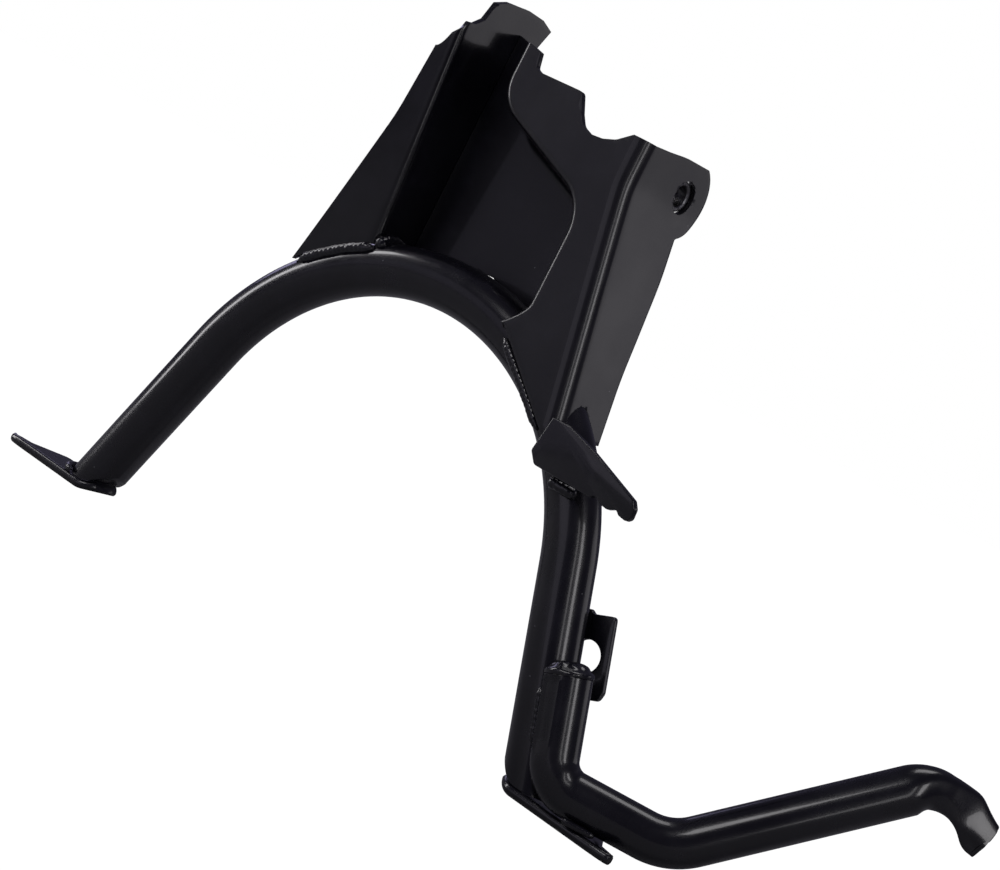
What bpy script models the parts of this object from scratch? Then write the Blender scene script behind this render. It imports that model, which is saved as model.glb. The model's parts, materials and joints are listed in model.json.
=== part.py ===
"""Centre stand of a motorcycle: a bent tube arch with a pressed saddle, pivot bushes, foot pads,
a foot lever, a spring hook and a stop bracket, all welded together.

Metres. The origin is on the pivot axis at the arch's plane of symmetry. With the stand down,
+X runs to the lever side, +Z is up and the saddle's recessed web faces -Y."""

import math

import bmesh
import bpy
from mathutils import Vector

# Clearances between separate pieces
GAP = 0.0003  # left open at every welded joint
WEB_CLEAR = 0.0006  # from a bush to the web in front of it

# Arch tube, measured from its crown on the centreline
TUBE_OD = 0.025
TUBE_WALL = 0.002
ARCH_RADIUS = 0.125
LEG_SPLAY = math.radians(20.3)
SOLE_DROP = 0.177  # crown centreline down to the soles

# Pivot, measured from the crown
PIVOT_BACK = 0.030
PIVOT_RISE = 0.083
BUSH_OD = 0.015
BUSH_BORE = 0.0098
BUSH_LENGTH = 0.012
BUSH_SUNK = 0.002  # the right bush's outer end lies this far inside the ear's face

# Pressed sheets
SHEET = 0.003
FOLD = 0.008  # outer radius of the right fold
LEFT_FOLD = 0.0045
PRESS = 0.0036  # crest radius of the step
DRAFT = math.radians(13.8)
EAR_WALL = 0.0113  # from a bush's outside to the ear's edge
EAR_X = 0.066  # right ear's outer face
FLARE = 0.236  # how fast the flange runs outward below the ear
WALL_X = 0.050  # left wall's inner face
STRIP_LEAN = 0.119
STRIP_REACH = 0.0107  # strip's lower edge outside the tube's centreline
STRIP_RUN = 0.0366  # strip's tip out from the fold
STEP_TOP_X = -0.015
STEP_LOW_X = 0.051
STEP_HIGH = 0.0878
STEP_LOW = 0.0618
STEP_TURN = (0.015, 0.025)  # radii of the step's two bends
WEB_RISE = 0.036  # web's top edge above the pivot
PLATE_RISE = 0.021
LAP_X = 0.0405  # lapped lower edge's inner end, and its height
LAP_TOP = -0.0025
LAP_LOW = -0.0366

# Foot pads
PAD = 0.0045
PAD_WIDTH = 0.028
PAD_LENGTH = 0.054  # from the leg's axis to the front tip
PAD_CURL = 0.014  # inner radius of the end that wraps the leg
PAD_WRAP = math.radians(35)

# Foot lever
LEVER_OD = 0.021
LEVER_WALL = 0.002
LEVER_SIDE = math.radians(38)  # round the leg from its outer side to the front
LEVER_LAP = 0.0447
LEVER_FLAT = 0.0496
LEVER_SWING = 0.0244
LEVER_RISE = Vector((0.065, 0.052, 0.070))
LEVER_TIP = Vector((0.0275, 0.0215, -0.0100))
BLADE = 0.0045  # thickness of the flattened end

# Spring hook and stop bracket
HOOK_PLATE = 0.004
HOOK_LENGTH = 0.0590
HOOK_DEPTH = 0.022
HOOK_TURN = math.radians(48.9)  # lower inner corner, round the arch's bend from its crown
HOOK_IN = 0.0103  # that corner inside the tube's centreline
STOP_PLATE = 0.003
STOP_LENGTH = 0.037
STOP_HOLE = 0.0146
STOP_EDGE = 0.0114  # from the hole's middle to the outer edge
STOP_UP = 0.0605  # hole above the soles

# Weld beads
BEAD = 0.0024

# Worked-out places, from the crown
TUBE_R = TUBE_OD / 2
BUSH_R = BUSH_OD / 2
LEVER_R = LEVER_OD / 2
CLEAR_R = TUBE_R + GAP
TO_PIVOT = Vector((0, -PIVOT_BACK, -PIVOT_RISE))
ARCH_LOW = Vector((0, 0, -ARCH_RADIUS))
LEG_DIR = Vector((math.sin(LEG_SPLAY), 0, -math.cos(LEG_SPLAY)))
LEG_OUT = Vector((math.cos(LEG_SPLAY), 0, math.sin(LEG_SPLAY)))
FRONT = Vector((0, -1, 0))
PAD_TOP = -SOLE_DROP + PAD
PLATE_Y = -(TUBE_R + GAP + SHEET + 0.0002)  # right plate's front face
WEB_Y = PIVOT_BACK - BUSH_R - WEB_CLEAR - SHEET  # web's front face
EAR_R = BUSH_R + EAR_WALL
BEND_END = ARCH_LOW + LEG_OUT * ARCH_RADIUS


def leg_point(z):
    """The right leg's centreline at a height."""
    return BEND_END + LEG_DIR * ((BEND_END.z - z) / math.cos(LEG_SPLAY))


# Finishes and bodies


def paint(name, shade, metallic, roughness):
    material = bpy.data.materials.new(name)
    material.use_nodes = True
    shader = material.node_tree.nodes["Principled BSDF"]
    shader.inputs["Base Color"].default_value = (*shade, 1)
    shader.inputs["Metallic"].default_value = metallic
    shader.inputs["Roughness"].default_value = roughness
    material.diffuse_color = (*shade, 1)
    return material


def body(name, points, faces, helper=False, sheet=0, coat=None):
    mesh = bpy.data.meshes.new(name)
    mesh.from_pydata([Vector(p) + TO_PIVOT for p in points], [], faces)
    if not sheet:
        shape = bmesh.new()
        shape.from_mesh(mesh)
        bmesh.ops.recalc_face_normals(shape, faces=shape.faces)
        shape.to_mesh(mesh)
        shape.free()
    piece = bpy.data.objects.new(name, mesh)
    bpy.context.scene.collection.objects.link(piece)
    if sheet:
        thick = piece.modifiers.new("thickness", "SOLIDIFY")
        thick.thickness = sheet
        thick.offset = -1
        thick.use_even_offset = True
    if helper:
        piece.hide_render = True
        piece.display_type = "WIRE"
    else:
        mesh.materials.append(coat or paint(f"{name}_paint", (0.015, 0.015, 0.018), 0.2, 0.25))
    return piece


def cut(piece, cutter):
    step = piece.modifiers.new(cutter.name, "BOOLEAN")
    step.operation = "DIFFERENCE"
    step.solver = "EXACT"
    step.object = cutter


# Shapes


def ring(centre, wide, tall, sides):
    turns = [2 * math.pi * k / sides for k in range(sides)]
    return [centre + wide * math.cos(t) + tall * math.sin(t) for t in turns]


def loft(rings, loop=False):
    """Points and faces through rings of equal count, capped unless they close on themselves."""
    sides = len(rings[0])
    points = [p for row in rings for p in row]
    rows = len(rings)
    faces = []
    for j in range(rows if loop else rows - 1):
        a, b = j * sides, (j + 1) % rows * sides
        faces += [(a + k, a + (k + 1) % sides, b + (k + 1) % sides, b + k) for k in range(sides)]
    if not loop:
        faces += [tuple(range(sides)), tuple(range((rows - 1) * sides, rows * sides))]
    return points, faces


def cross_frames(path, side):
    """A wide and a tall direction at each point, square to the path and turned by little."""
    frames = []
    for k, _ in enumerate(path):
        ahead = (path[min(k + 1, len(path) - 1)] - path[max(k - 1, 0)]).normalized()
        side = (side - ahead * side.dot(ahead)).normalized()
        frames.append((side, ahead.cross(side)))
    return frames


def tube_rings(path, radius, sides, side=FRONT):
    frames = cross_frames(path, side)
    return [ring(p, w * radius, t * radius, sides) for p, (w, t) in zip(path, frames)]


def bead(name, path, radius, sides=8, across=None):
    """A weld bead with tapered ends."""
    frames = cross_frames(path, across or FRONT)
    last = len(path) - 1
    size = [radius * min(1, 0.45 + 0.55 * min(k, last - k)) for k in range(last + 1)]
    rings = [ring(p, w * s, t * s, sides) for p, (w, t), s in zip(path, frames, size)]
    return body(name, *loft(rings))


def rounded(points, radii, steps):
    """A path through corner points, each inner corner turned on its own radius."""
    path = [points[0]]
    for k in range(1, len(points) - 1):
        corner = points[k]
        back = (points[k - 1] - corner).normalized()
        ahead = (points[k + 1] - corner).normalized()
        half = back.angle(ahead) / 2
        reach = radii[k - 1] / math.tan(half)
        middle = corner + (back + ahead).normalized() * radii[k - 1] / math.sin(half)
        first = corner + back * reach - middle
        final = corner + ahead * reach - middle
        turn = first.angle(final)
        for j in range(steps + 1):
            a, b = math.sin(turn * (1 - j / steps)), math.sin(turn * j / steps)
            path.append(middle + (first * a + final * b) / math.sin(turn))
    return path + [points[-1]]


def prism(outline, low, high):
    """An outline in X and Z drawn out along Y."""
    return loft([[Vector((x, y, z)) for x, z in outline] for y in (low, high)])


def drum(name, centre, radius, low, high, axis, sides=32):
    """A round helper along X or Y."""
    unit = Vector((1, 0, 0)) if axis == "X" else Vector((0, 1, 0))
    other = Vector((0, 1, 0)) if axis == "X" else Vector((1, 0, 0))
    up = Vector((0, 0, 1))
    ends = [ring(centre + unit * at, other * radius, up * radius, sides) for at in (low, high)]
    return body(name, *loft(ends), helper=True)


def along(line, x):
    """The height of a line of points at x."""
    for (x0, y0), (x1, y1) in zip(line, line[1:]):
        if x <= x1 or (x1, y1) == line[-1]:
            return y0 + (y1 - y0) * (x - x0) / (x1 - x0)
    return line[-1][1]


def patch(left, right, top, low):
    """Columns of a sheet spread between two end columns, a top line and a lower line."""
    rows = len(left) - 1
    span = top[-1][0] - top[0][0]
    columns = []
    for (xt, zt), (xb, zb) in zip(top, low):
        u = (xt - top[0][0]) / span
        column = []
        for j in range(rows + 1):
            s = (left[0][1] - left[j][1]) / (left[0][1] - left[-1][1])
            here = []
            for axis, t, b in ((0, xt, xb), (1, zt, zb)):
                edge = (1 - u) * left[j][axis] + u * right[j][axis]
                line = (1 - s) * t + s * b
                ends = (1 - u) * (1 - s) * left[0][axis] + u * (1 - s) * right[0][axis]
                ends += (1 - u) * s * left[-1][axis] + u * s * right[-1][axis]
                here.append(edge + line - ends)
            column.append(here)
        columns.append(column)
    return columns


def spread(line, fractions):
    """Points of a line at fractions of its length in x."""
    x0, x1 = line[0][0], line[-1][0]
    return [(x0 + (x1 - x0) * f, along(line, x0 + (x1 - x0) * f)) for f in fractions]


def sheet_body(name, columns, thickness):
    rows = len(columns[0])
    points = [p for column in columns for p in column]
    faces = []
    for k in range(len(columns) - 1):
        for j in range(rows - 1):
            a, b = k * rows + j, (k + 1) * rows + j
            faces.append((a, a + 1, b + 1, b))
    return body(name, points, faces, sheet=thickness)


# Arch tube


def arch_path(drop, extra=0.0, steps=22):
    """The arch's centreline from the left leg's end to the right one's."""
    end = leg_point(drop) + LEG_DIR * extra
    sweep = math.pi / 2 - LEG_SPLAY
    bend = []
    for k in range(steps + 1):
        turn = sweep * (2 * k / steps - 1)
        bend.append(ARCH_LOW + Vector((math.sin(turn), 0, math.cos(turn))) * ARCH_RADIUS)
    return [Vector((-end.x, 0, end.z)), *bend, end]


def make_arch():
    path = arch_path(PAD_TOP, 0.012)
    outer = tube_rings(path, TUBE_R, 24)
    inner = tube_rings(path, TUBE_R - TUBE_WALL, 24)
    arch = body("arch_tube", *loft(outer + inner[::-1], loop=True))
    for side in (-1, 1):
        cut(arch, make_pad_room(side))


def make_pad_room(side):
    """Everything under a foot pad's upper face, which the leg's end stays clear of."""
    middle = leg_point(PAD_TOP).x
    radius = PAD_CURL - GAP
    outline = [(middle + 0.05, PAD_TOP + GAP)]
    for k in range(8):
        turn = (PAD_WRAP + math.radians(1.5)) * k / 7
        outline.append((middle - radius * math.sin(turn), PAD_TOP + PAD_CURL - radius * math.cos(turn)))
    x, z = outline[-1]
    outline.append((x - 0.02 * math.cos(turn), z + 0.02 * math.sin(turn)))
    outline += [(middle - 0.05, -SOLE_DROP - 0.03), (middle + 0.05, -SOLE_DROP - 0.03)]
    name = "left_pad_room" if side < 0 else "right_pad_room"
    return body(name, *prism([(side * x, z) for x, z in outline], -0.03, 0.03), helper=True)


def make_arch_room():
    """The room that sheets and beads leave round the arch tube."""
    sides = 24
    wide = CLEAR_R / math.cos(math.pi / sides)
    path = arch_path(PAD_TOP, 0.02)
    return body("arch_room", *loft(tube_rings(path, wide, sides)), helper=True)


# Saddle


def step_line():
    """The step's crest from top to bottom as points in X and Z, and the way out of the plate."""
    top = PIVOT_RISE + 0.031
    corners = [(STEP_TOP_X, top), (STEP_TOP_X, STEP_HIGH), (STEP_LOW_X, STEP_LOW)]
    corners = [Vector((x, 0, z)) for x, z in corners + [(STEP_LOW_X, LAP_TOP)]]
    path = rounded(corners, STEP_TURN, 6)
    path.insert(1, path[0].lerp(path[1], 0.5))
    for share in (0.3, 0.5, 0.6):
        path.insert(-1, path[-2].lerp(path[-1], share))
    ways = []
    for k, _ in enumerate(path):
        ahead = (path[min(k + 1, len(path) - 1)] - path[max(k - 1, 0)]).normalized()
        ways.append(Vector((ahead.z, 0, -ahead.x)))
    return path, ways


def step_section():
    """(run, depth) from the plate's front face down the drafted step to the web."""
    depth = WEB_Y - PLATE_Y
    lean = math.pi / 2 - DRAFT
    foot = PRESS * 0.95
    rise = (PRESS + foot) * (1 - math.cos(lean))
    slope = (depth - rise) / math.sin(lean)
    section = []
    for k in range(4):
        t = lean * k / 3
        section.append((PRESS * math.sin(t), PRESS * (1 - math.cos(t))))
    run = PRESS * math.sin(lean) + slope * math.cos(lean) + foot * math.sin(lean)
    for k in range(4):
        t = lean * (1 - k / 3)
        section.append((run - foot * math.sin(t), depth - foot * (1 - math.cos(t))))
    return section


def flange_x(z):
    """The right flange's outer face at a height."""
    return EAR_X + FLARE * max(0, PIVOT_RISE - BUSH_R - 0.0008 - z)


def ear_edge(z, low_line):
    """How far back an ear reaches at a height."""
    rise = z - PIVOT_RISE
    edge = along(low_line, -z)
    if abs(rise) >= EAR_R:
        return edge
    return max(PIVOT_BACK + math.sqrt(EAR_R**2 - rise**2), edge)


def shares(line):
    """How far down its whole drop each point of a line is."""
    return [(line[0].z - p.z) / (line[0].z - line[-1].z) for p in line]


def plate_notch():
    """What is cut away above the right plate: a corner, a straight edge and a hollow."""
    edge = PIVOT_RISE + PLATE_RISE
    width = EAR_X - FOLD - STEP_TOP_X
    steps = [(0.065, 0.016), (0.118, 0.0012), (0.16, 0), (0.51, -0.0002), (0.575, -0.0088)]
    steps += [(0.625, -0.0136), (0.70, -0.0156), (0.80, -0.0152), (0.89, -0.0132), (1, -0.0075), (1, 0.016)]
    outline = [(STEP_TOP_X + width * f, edge + z) for f, z in steps]
    return body("plate_notch", *prism(outline, PLATE_Y - 0.004, PLATE_Y + SHEET + 0.0008), helper=True)


def step_notch():
    """Lowers the step's drafted wall behind the crest's upper end."""
    top = PIVOT_RISE + WEB_RISE
    outline = [(-0.037, top + 0.004), (-0.0355, top - 0.011), (STEP_TOP_X + 0.004, top - 0.015)]
    outline.append((STEP_TOP_X + 0.004, top + 0.004))
    return body("step_notch", *prism(outline, PLATE_Y + 0.0075, WEB_Y + SHEET + 0.001), helper=True)


def make_saddle(arch_room):
    crest, ways = step_line()
    section = step_section()
    depth = WEB_Y - PLATE_Y
    toe = [(STEP_LOW_X - LAP_X) * max(0, 1 - (p.z - LAP_TOP) / 0.0125) for p in crest]
    columns = []
    web_top, web_low = PIVOT_RISE + WEB_RISE, LAP_TOP
    marks = shares(crest)
    foot = shares([p + way * section[-1][0] for p, way in zip(crest, ways)])
    wall = [Vector((-WALL_X + GAP, WEB_Y, web_top + (web_low - web_top) * s)) for s in foot]
    columns.append(wall)
    for run, deep in section[::-1]:
        column = []
        for p, way, slip in zip(crest, ways, toe):
            shift = Vector((-slip * (1 - deep / depth), PLATE_Y + deep, 0))
            column.append(p + way * run + shift)
        columns.append(column)

    # Right plate, from the step's crest to the fold
    fold_top, fold_low = PIVOT_RISE + 0.013, LAP_LOW
    fold_line = [fold_top + (fold_low - fold_top) * s**1.25 for s in marks]
    columns.append([Vector((flange_x(z) - FOLD, PLATE_Y, z)) for z in fold_line])

    # Fold and right flange, laid out flat and then bent
    arc = FOLD * math.pi / 2
    flat = arc - PLATE_Y - FOLD
    rear = [(-0.098, PIVOT_BACK + 0.008), (-0.045, 0.034), (-0.021, 0.029), (0.002, 0.024)]
    rear = rear + [(0.031, 0.021)]
    ear_top, ear_low = PIVOT_RISE + 0.0166, -0.0325
    heights = [ear_top + (ear_low - ear_top) * s**1.3 for s in marks]
    back = [(flat + ear_edge(z, rear), z) for z in heights]
    front = [(0, z) for z in fold_line]
    top = [(arc * k / 5, fold_top) for k in range(6)]
    top += [(flat + 0.008, fold_top + 0.0015), (flat + 0.020, fold_top + 0.003), back[0]]
    low = [(0, fold_low), (arc, fold_low + 0.003), back[-1]]
    low = spread(low, [x / back[0][0] for x, _ in top])
    for column in patch(front, back, top, low)[1:]:
        bent = []
        for w, z in column:
            turn = min(w, arc) / FOLD
            x = flange_x(z) - FOLD + FOLD * math.sin(turn)
            bent.append(Vector((x, PLATE_Y + FOLD * (1 - math.cos(turn)) + max(0, w - arc), z)))
        columns.append(bent)
    saddle = sheet_body("saddle_plate", columns, SHEET)

    # Web and step end above the tube
    rim = ARCH_RADIUS + TUBE_R
    slit = ((-26, 0.0035), (-20, 0.0035), (-14, 0.0035), (-9, 0.0035), (-5.2, 0.0035))
    slit = slit + ((-4.6, 0.0008), (0.2, 0.0008), (0.8, 0.0035), (6, 0.0035), (11, 0.0035))
    slit = slit + ((16, 0.0035), (21, 0.0035), (26, 0.0035))
    outline = []
    for degrees, drop in slit:
        t = math.radians(degrees)
        outline.append(((rim - drop) * math.sin(t), (rim - drop) * math.cos(t) - ARCH_RADIUS))
    outline += [(outline[-1][0], -0.06), (outline[0][0], -0.06)]
    trim = body("web_trim", *prism(outline, PLATE_Y + SHEET + 0.0001, 0.05), helper=True)
    hole = drum(
        "ear_hole",
        Vector((EAR_X, PIVOT_BACK, PIVOT_RISE)),
        BUSH_R + GAP + 0.0001,
        -0.012,
        0.012,
        "X",
    )
    for cutter in (arch_room, trim, hole, plate_notch(), step_notch()):
        cut(saddle, cutter)


# Left side plate


def strip_y(x, z):
    """The left strip's front face, leaning forward away from the tube."""
    out = math.hypot(x, z + ARCH_RADIUS) - ARCH_RADIUS - STRIP_REACH
    base = math.sqrt(CLEAR_R**2 - STRIP_REACH**2) + SHEET
    return -base - 0.0002 - STRIP_LEAN * max(0, out)


def make_left_plate(arch_room):
    fold_x = -WALL_X - LEFT_FOLD
    rim = ARCH_RADIUS + STRIP_REACH
    marks = [0, 0.045, 0.09, 0.14, 0.19, 0.24, 0.29, 0.34, 0.39, 0.44, 0.52, 0.62, 0.75, 0.88, 1]
    top_z = PIVOT_RISE + 0.0205
    low_z = math.sqrt(rim**2 - fold_x**2) - ARCH_RADIUS
    fold = [(fold_x, top_z + (low_z - top_z) * s) for s in marks]
    tip = fold_x - STRIP_RUN
    tip_z = math.sqrt(rim**2 - tip**2) - ARCH_RADIUS
    heel = top_z - 0.0080
    edge = []
    for s in marks:
        z = heel + (tip_z - heel) * s
        edge.append((fold_x - 0.006 - 0.0060 * min(1, s / 0.3) - 0.0241 * max(0, s - 0.3) / 0.7, z))
    turns = [k / 4 for k in range(5)]
    top = [(edge[0][0] + (fold_x - edge[0][0]) * f, heel + (top_z - heel) * f**1.8) for f in turns]
    low = []
    for f in turns:
        x = edge[-1][0] + (fold_x - edge[-1][0]) * f
        low.append((x, math.sqrt(rim**2 - x**2) - ARCH_RADIUS))
    columns = []
    for column in patch(edge, fold, top, low):
        columns.append([Vector((x, strip_y(x, z), z)) for x, z in column])

    arc = LEFT_FOLD * math.pi / 2
    rear = [(-PIVOT_RISE - 0.0455, PIVOT_BACK + 0.0093), (-PIVOT_RISE - 0.030, PIVOT_BACK + 0.003)]
    rear += [(-0.055, 0.034), (-0.025, 0.0265), (0.002, 0.0255)]
    ear_top = PIVOT_RISE + 0.0455
    heights = [ear_top + (0.001 - ear_top) * s for s in marks]
    start = strip_y(fold_x, PIVOT_RISE)
    back = [(arc - start - LEFT_FOLD + ear_edge(z, rear), z) for z in heights]
    offset = arc - start - LEFT_FOLD
    front = [(0, z) for _, z in fold]
    top = [(arc * k / 4, top_z + 0.0078 * k / 4) for k in range(5)]
    crown = [(-0.0115, 0.0290), (-0.0068, 0.0330), (-0.0035, 0.0425), (0.004, 0.0460)]
    crown += [(0.017, 0.0480), (0.030, 0.0480)]
    top += [(offset + y, PIVOT_RISE + z) for y, z in crown] + [back[0]]
    low = [(0, low_z), (arc, 0.001), back[-1]]
    low = spread(low, [x / back[0][0] for x, _ in top])
    for column in patch(front, back, top, low)[1:]:
        bent = []
        for w, z in column:
            turn = min(w, arc) / LEFT_FOLD
            y0 = strip_y(fold_x, z)
            x = fold_x + LEFT_FOLD * math.sin(turn)
            far = max(0, w - arc)
            lean = (start - y0) * max(0, 1 - far / 0.03)
            y = start - lean + LEFT_FOLD * (1 - math.cos(turn)) + far
            bent.append(Vector((x, y, z)))
        columns.append(bent)
    plate = sheet_body("left_side_plate", columns, SHEET)
    hole = drum(
        "left_ear_hole",
        Vector((-WALL_X, PIVOT_BACK, PIVOT_RISE)),
        BUSH_R + GAP + 0.0001,
        -0.012,
        0.012,
        "X",
    )
    cut(plate, arch_room)
    cut(plate, hole)


# Bushes and pads


def make_bush(name, start):
    middle = Vector((start, PIVOT_BACK, PIVOT_RISE))
    far = middle + Vector((BUSH_LENGTH, 0, 0))
    y, z = Vector((0, 1, 0)), Vector((0, 0, 1))
    rings = []
    for radius, ends in ((BUSH_R, (middle, far)), (BUSH_BORE / 2, (far, middle))):
        rings += [ring(p, y * radius, z * radius, 32) for p in ends]
    body(name, *loft(rings, loop=True), coat=paint(f"{name}_steel", (0.30, 0.30, 0.31), 1, 0.35))


def make_foot(name, side):
    """A pad with a tongue in front, its rear corner cut off and its inner end wrapped up."""
    middle = leg_point(PAD_TOP).x
    half = PAD_WIDTH / 2
    rings = []
    for k in range(7):
        turn = PAD_WRAP * (1 - k / 6)
        wide = half * (1 - 0.45 * (1 - k / 6) ** 2)
        ends = []
        for radius in (PAD_CURL, PAD_CURL + PAD):
            ends.append((middle - radius * math.sin(turn), PAD_TOP + PAD_CURL - radius * math.cos(turn)))
        rings.append((ends, -wide, wide))
    tongue = [(0.35, -1, 1), (0.62, -1, 0.98), (0.66, -1, 0.90), (0.84, -1, -0.30)]
    tongue += [(0.97, -0.97, -0.46), (1, -0.88, -0.58)]
    for share, front, rear in tongue:
        x = middle + PAD_LENGTH * share
        rings.append((((x, PAD_TOP), (x, -SOLE_DROP)), half * front, half * rear))
    rows = []
    for ((x0, z0), (x1, z1)), front, rear in rings:
        row = [(x0, front, z0), (x0, rear, z0), (x1, rear, z1), (x1, front, z1)]
        rows.append([Vector((side * x, y, z)) for x, y, z in row])
    body(name, *loft(rows))


# Foot lever


def lever_path():
    offset = TUBE_R + LEVER_R + GAP
    away = LEG_OUT * math.cos(LEVER_SIDE) + FRONT * math.sin(LEVER_SIDE)
    floor = PAD_TOP + GAP + LEVER_R
    corner = leg_point(floor - (away * offset).z) + away * offset
    flat = corner + Vector((LEVER_FLAT, LEVER_SWING, 0))
    reach = flat + LEVER_RISE
    tip = reach + LEVER_TIP
    points = [corner - LEG_DIR * LEVER_LAP, corner, flat, reach, tip]
    path = rounded(points, (LEVER_R * 1.45, 0.030, 0.013), 5)
    end = path[-2].copy()
    for share in (0.25, 0.5, 0.75):
        path.insert(-1, end.lerp(tip, share))
    return path


def make_lever():
    path = lever_path()
    frames = cross_frames(path, FRONT)
    outer = []
    inner = []
    last = len(path) - 1
    heights = (1, 1, 0.97, 0.88, 0.78, 0.69, 0.79, 0.87, 0.74)
    lifts = (0, 0, 0.05, 0.16, 0.32, 0.50, 0.46, 0.10, 0.03)
    for k, (p, (w, t)) in enumerate(zip(path, frames)):
        late = max(0, k - last + 8)
        thin = LEVER_R + (BLADE / 2 - LEVER_R) * min(1, late / 6)
        tall = LEVER_R * heights[late]
        middle = p + t * LEVER_R * lifts[late] * (-1 if t.z < 0 else 1)
        outer.append(ring(middle, w * thin, t * tall, 20))
        if late <= 3:
            inner.append(ring(middle, w * (thin - LEVER_WALL), t * (tall - LEVER_WALL), 20))
    body("lever_tube", *loft(inner[::-1] + outer))


# Spring hook and stop bracket


def hook_corner():
    reach = ARCH_RADIUS - HOOK_IN
    return reach * math.sin(HOOK_TURN), reach * math.cos(HOOK_TURN) - ARCH_RADIUS


def make_hook():
    y = PLATE_Y - GAP
    x0, low = hook_corner()
    top = low + HOOK_DEPTH
    tip = x0 + HOOK_LENGTH
    outline = [(x0, low + 0.005), (x0 + 0.0045, low)]
    bumps = [(0.62, 0), (0.665, 0.0018), (0.715, -0.0002), (0.79, -0.0008), (0.86, 0.0013)]
    bumps += [(0.90, -0.0005), (0.97, -0.0011), (1, 0.0007), (0.993, 0.0053), (0.953, 0.0083)]
    outline += [(x0 + HOOK_LENGTH * f, low + z) for f, z in bumps]
    outline += [(tip - 0.030, top - 0.0045), (x0 + 0.012, top), (x0 + 0.0026, top)]
    body("spring_hook_tab", *prism(outline, y - HOOK_PLATE, y))


def make_stop():
    hole_z = -SOLE_DROP + STOP_UP
    axis = leg_point(hole_z)
    away = STOP_HOLE / 2 + 0.0015
    y = CLEAR_R + 0.0001
    edge = away + STOP_EDGE
    corners = [(-0.004, -0.45), (0.36 * edge, -0.56), (0.46 * edge, -0.5), (edge, -0.5)]
    corners += [(edge, 0.40), (0.9 * edge, 0.5), (-0.004, 0.5)]
    outline = []
    for out, down in corners:
        spot = axis + LEG_OUT * out + LEG_DIR * STOP_LENGTH * down
        outline.append((spot.x, spot.z))
    plate = body("stop_bracket", *prism(outline, y, y + STOP_PLATE))
    middle = axis + LEG_OUT * away
    hole = drum("stop_hole", middle, STOP_HOLE / 2, 0, y + STOP_PLATE + 0.01, "Y")
    cut(plate, hole)


# Weld beads


def on_tube(x, r, lift):
    """A point in front of the arch tube, r outside its bend's middle, lifted off its surface."""
    z = math.sqrt(max(r**2 - x**2, 0)) - ARCH_RADIUS
    y = -math.sqrt((TUBE_R + lift) ** 2 - (r - ARCH_RADIUS) ** 2)
    return Vector((x, y, z))


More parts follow.
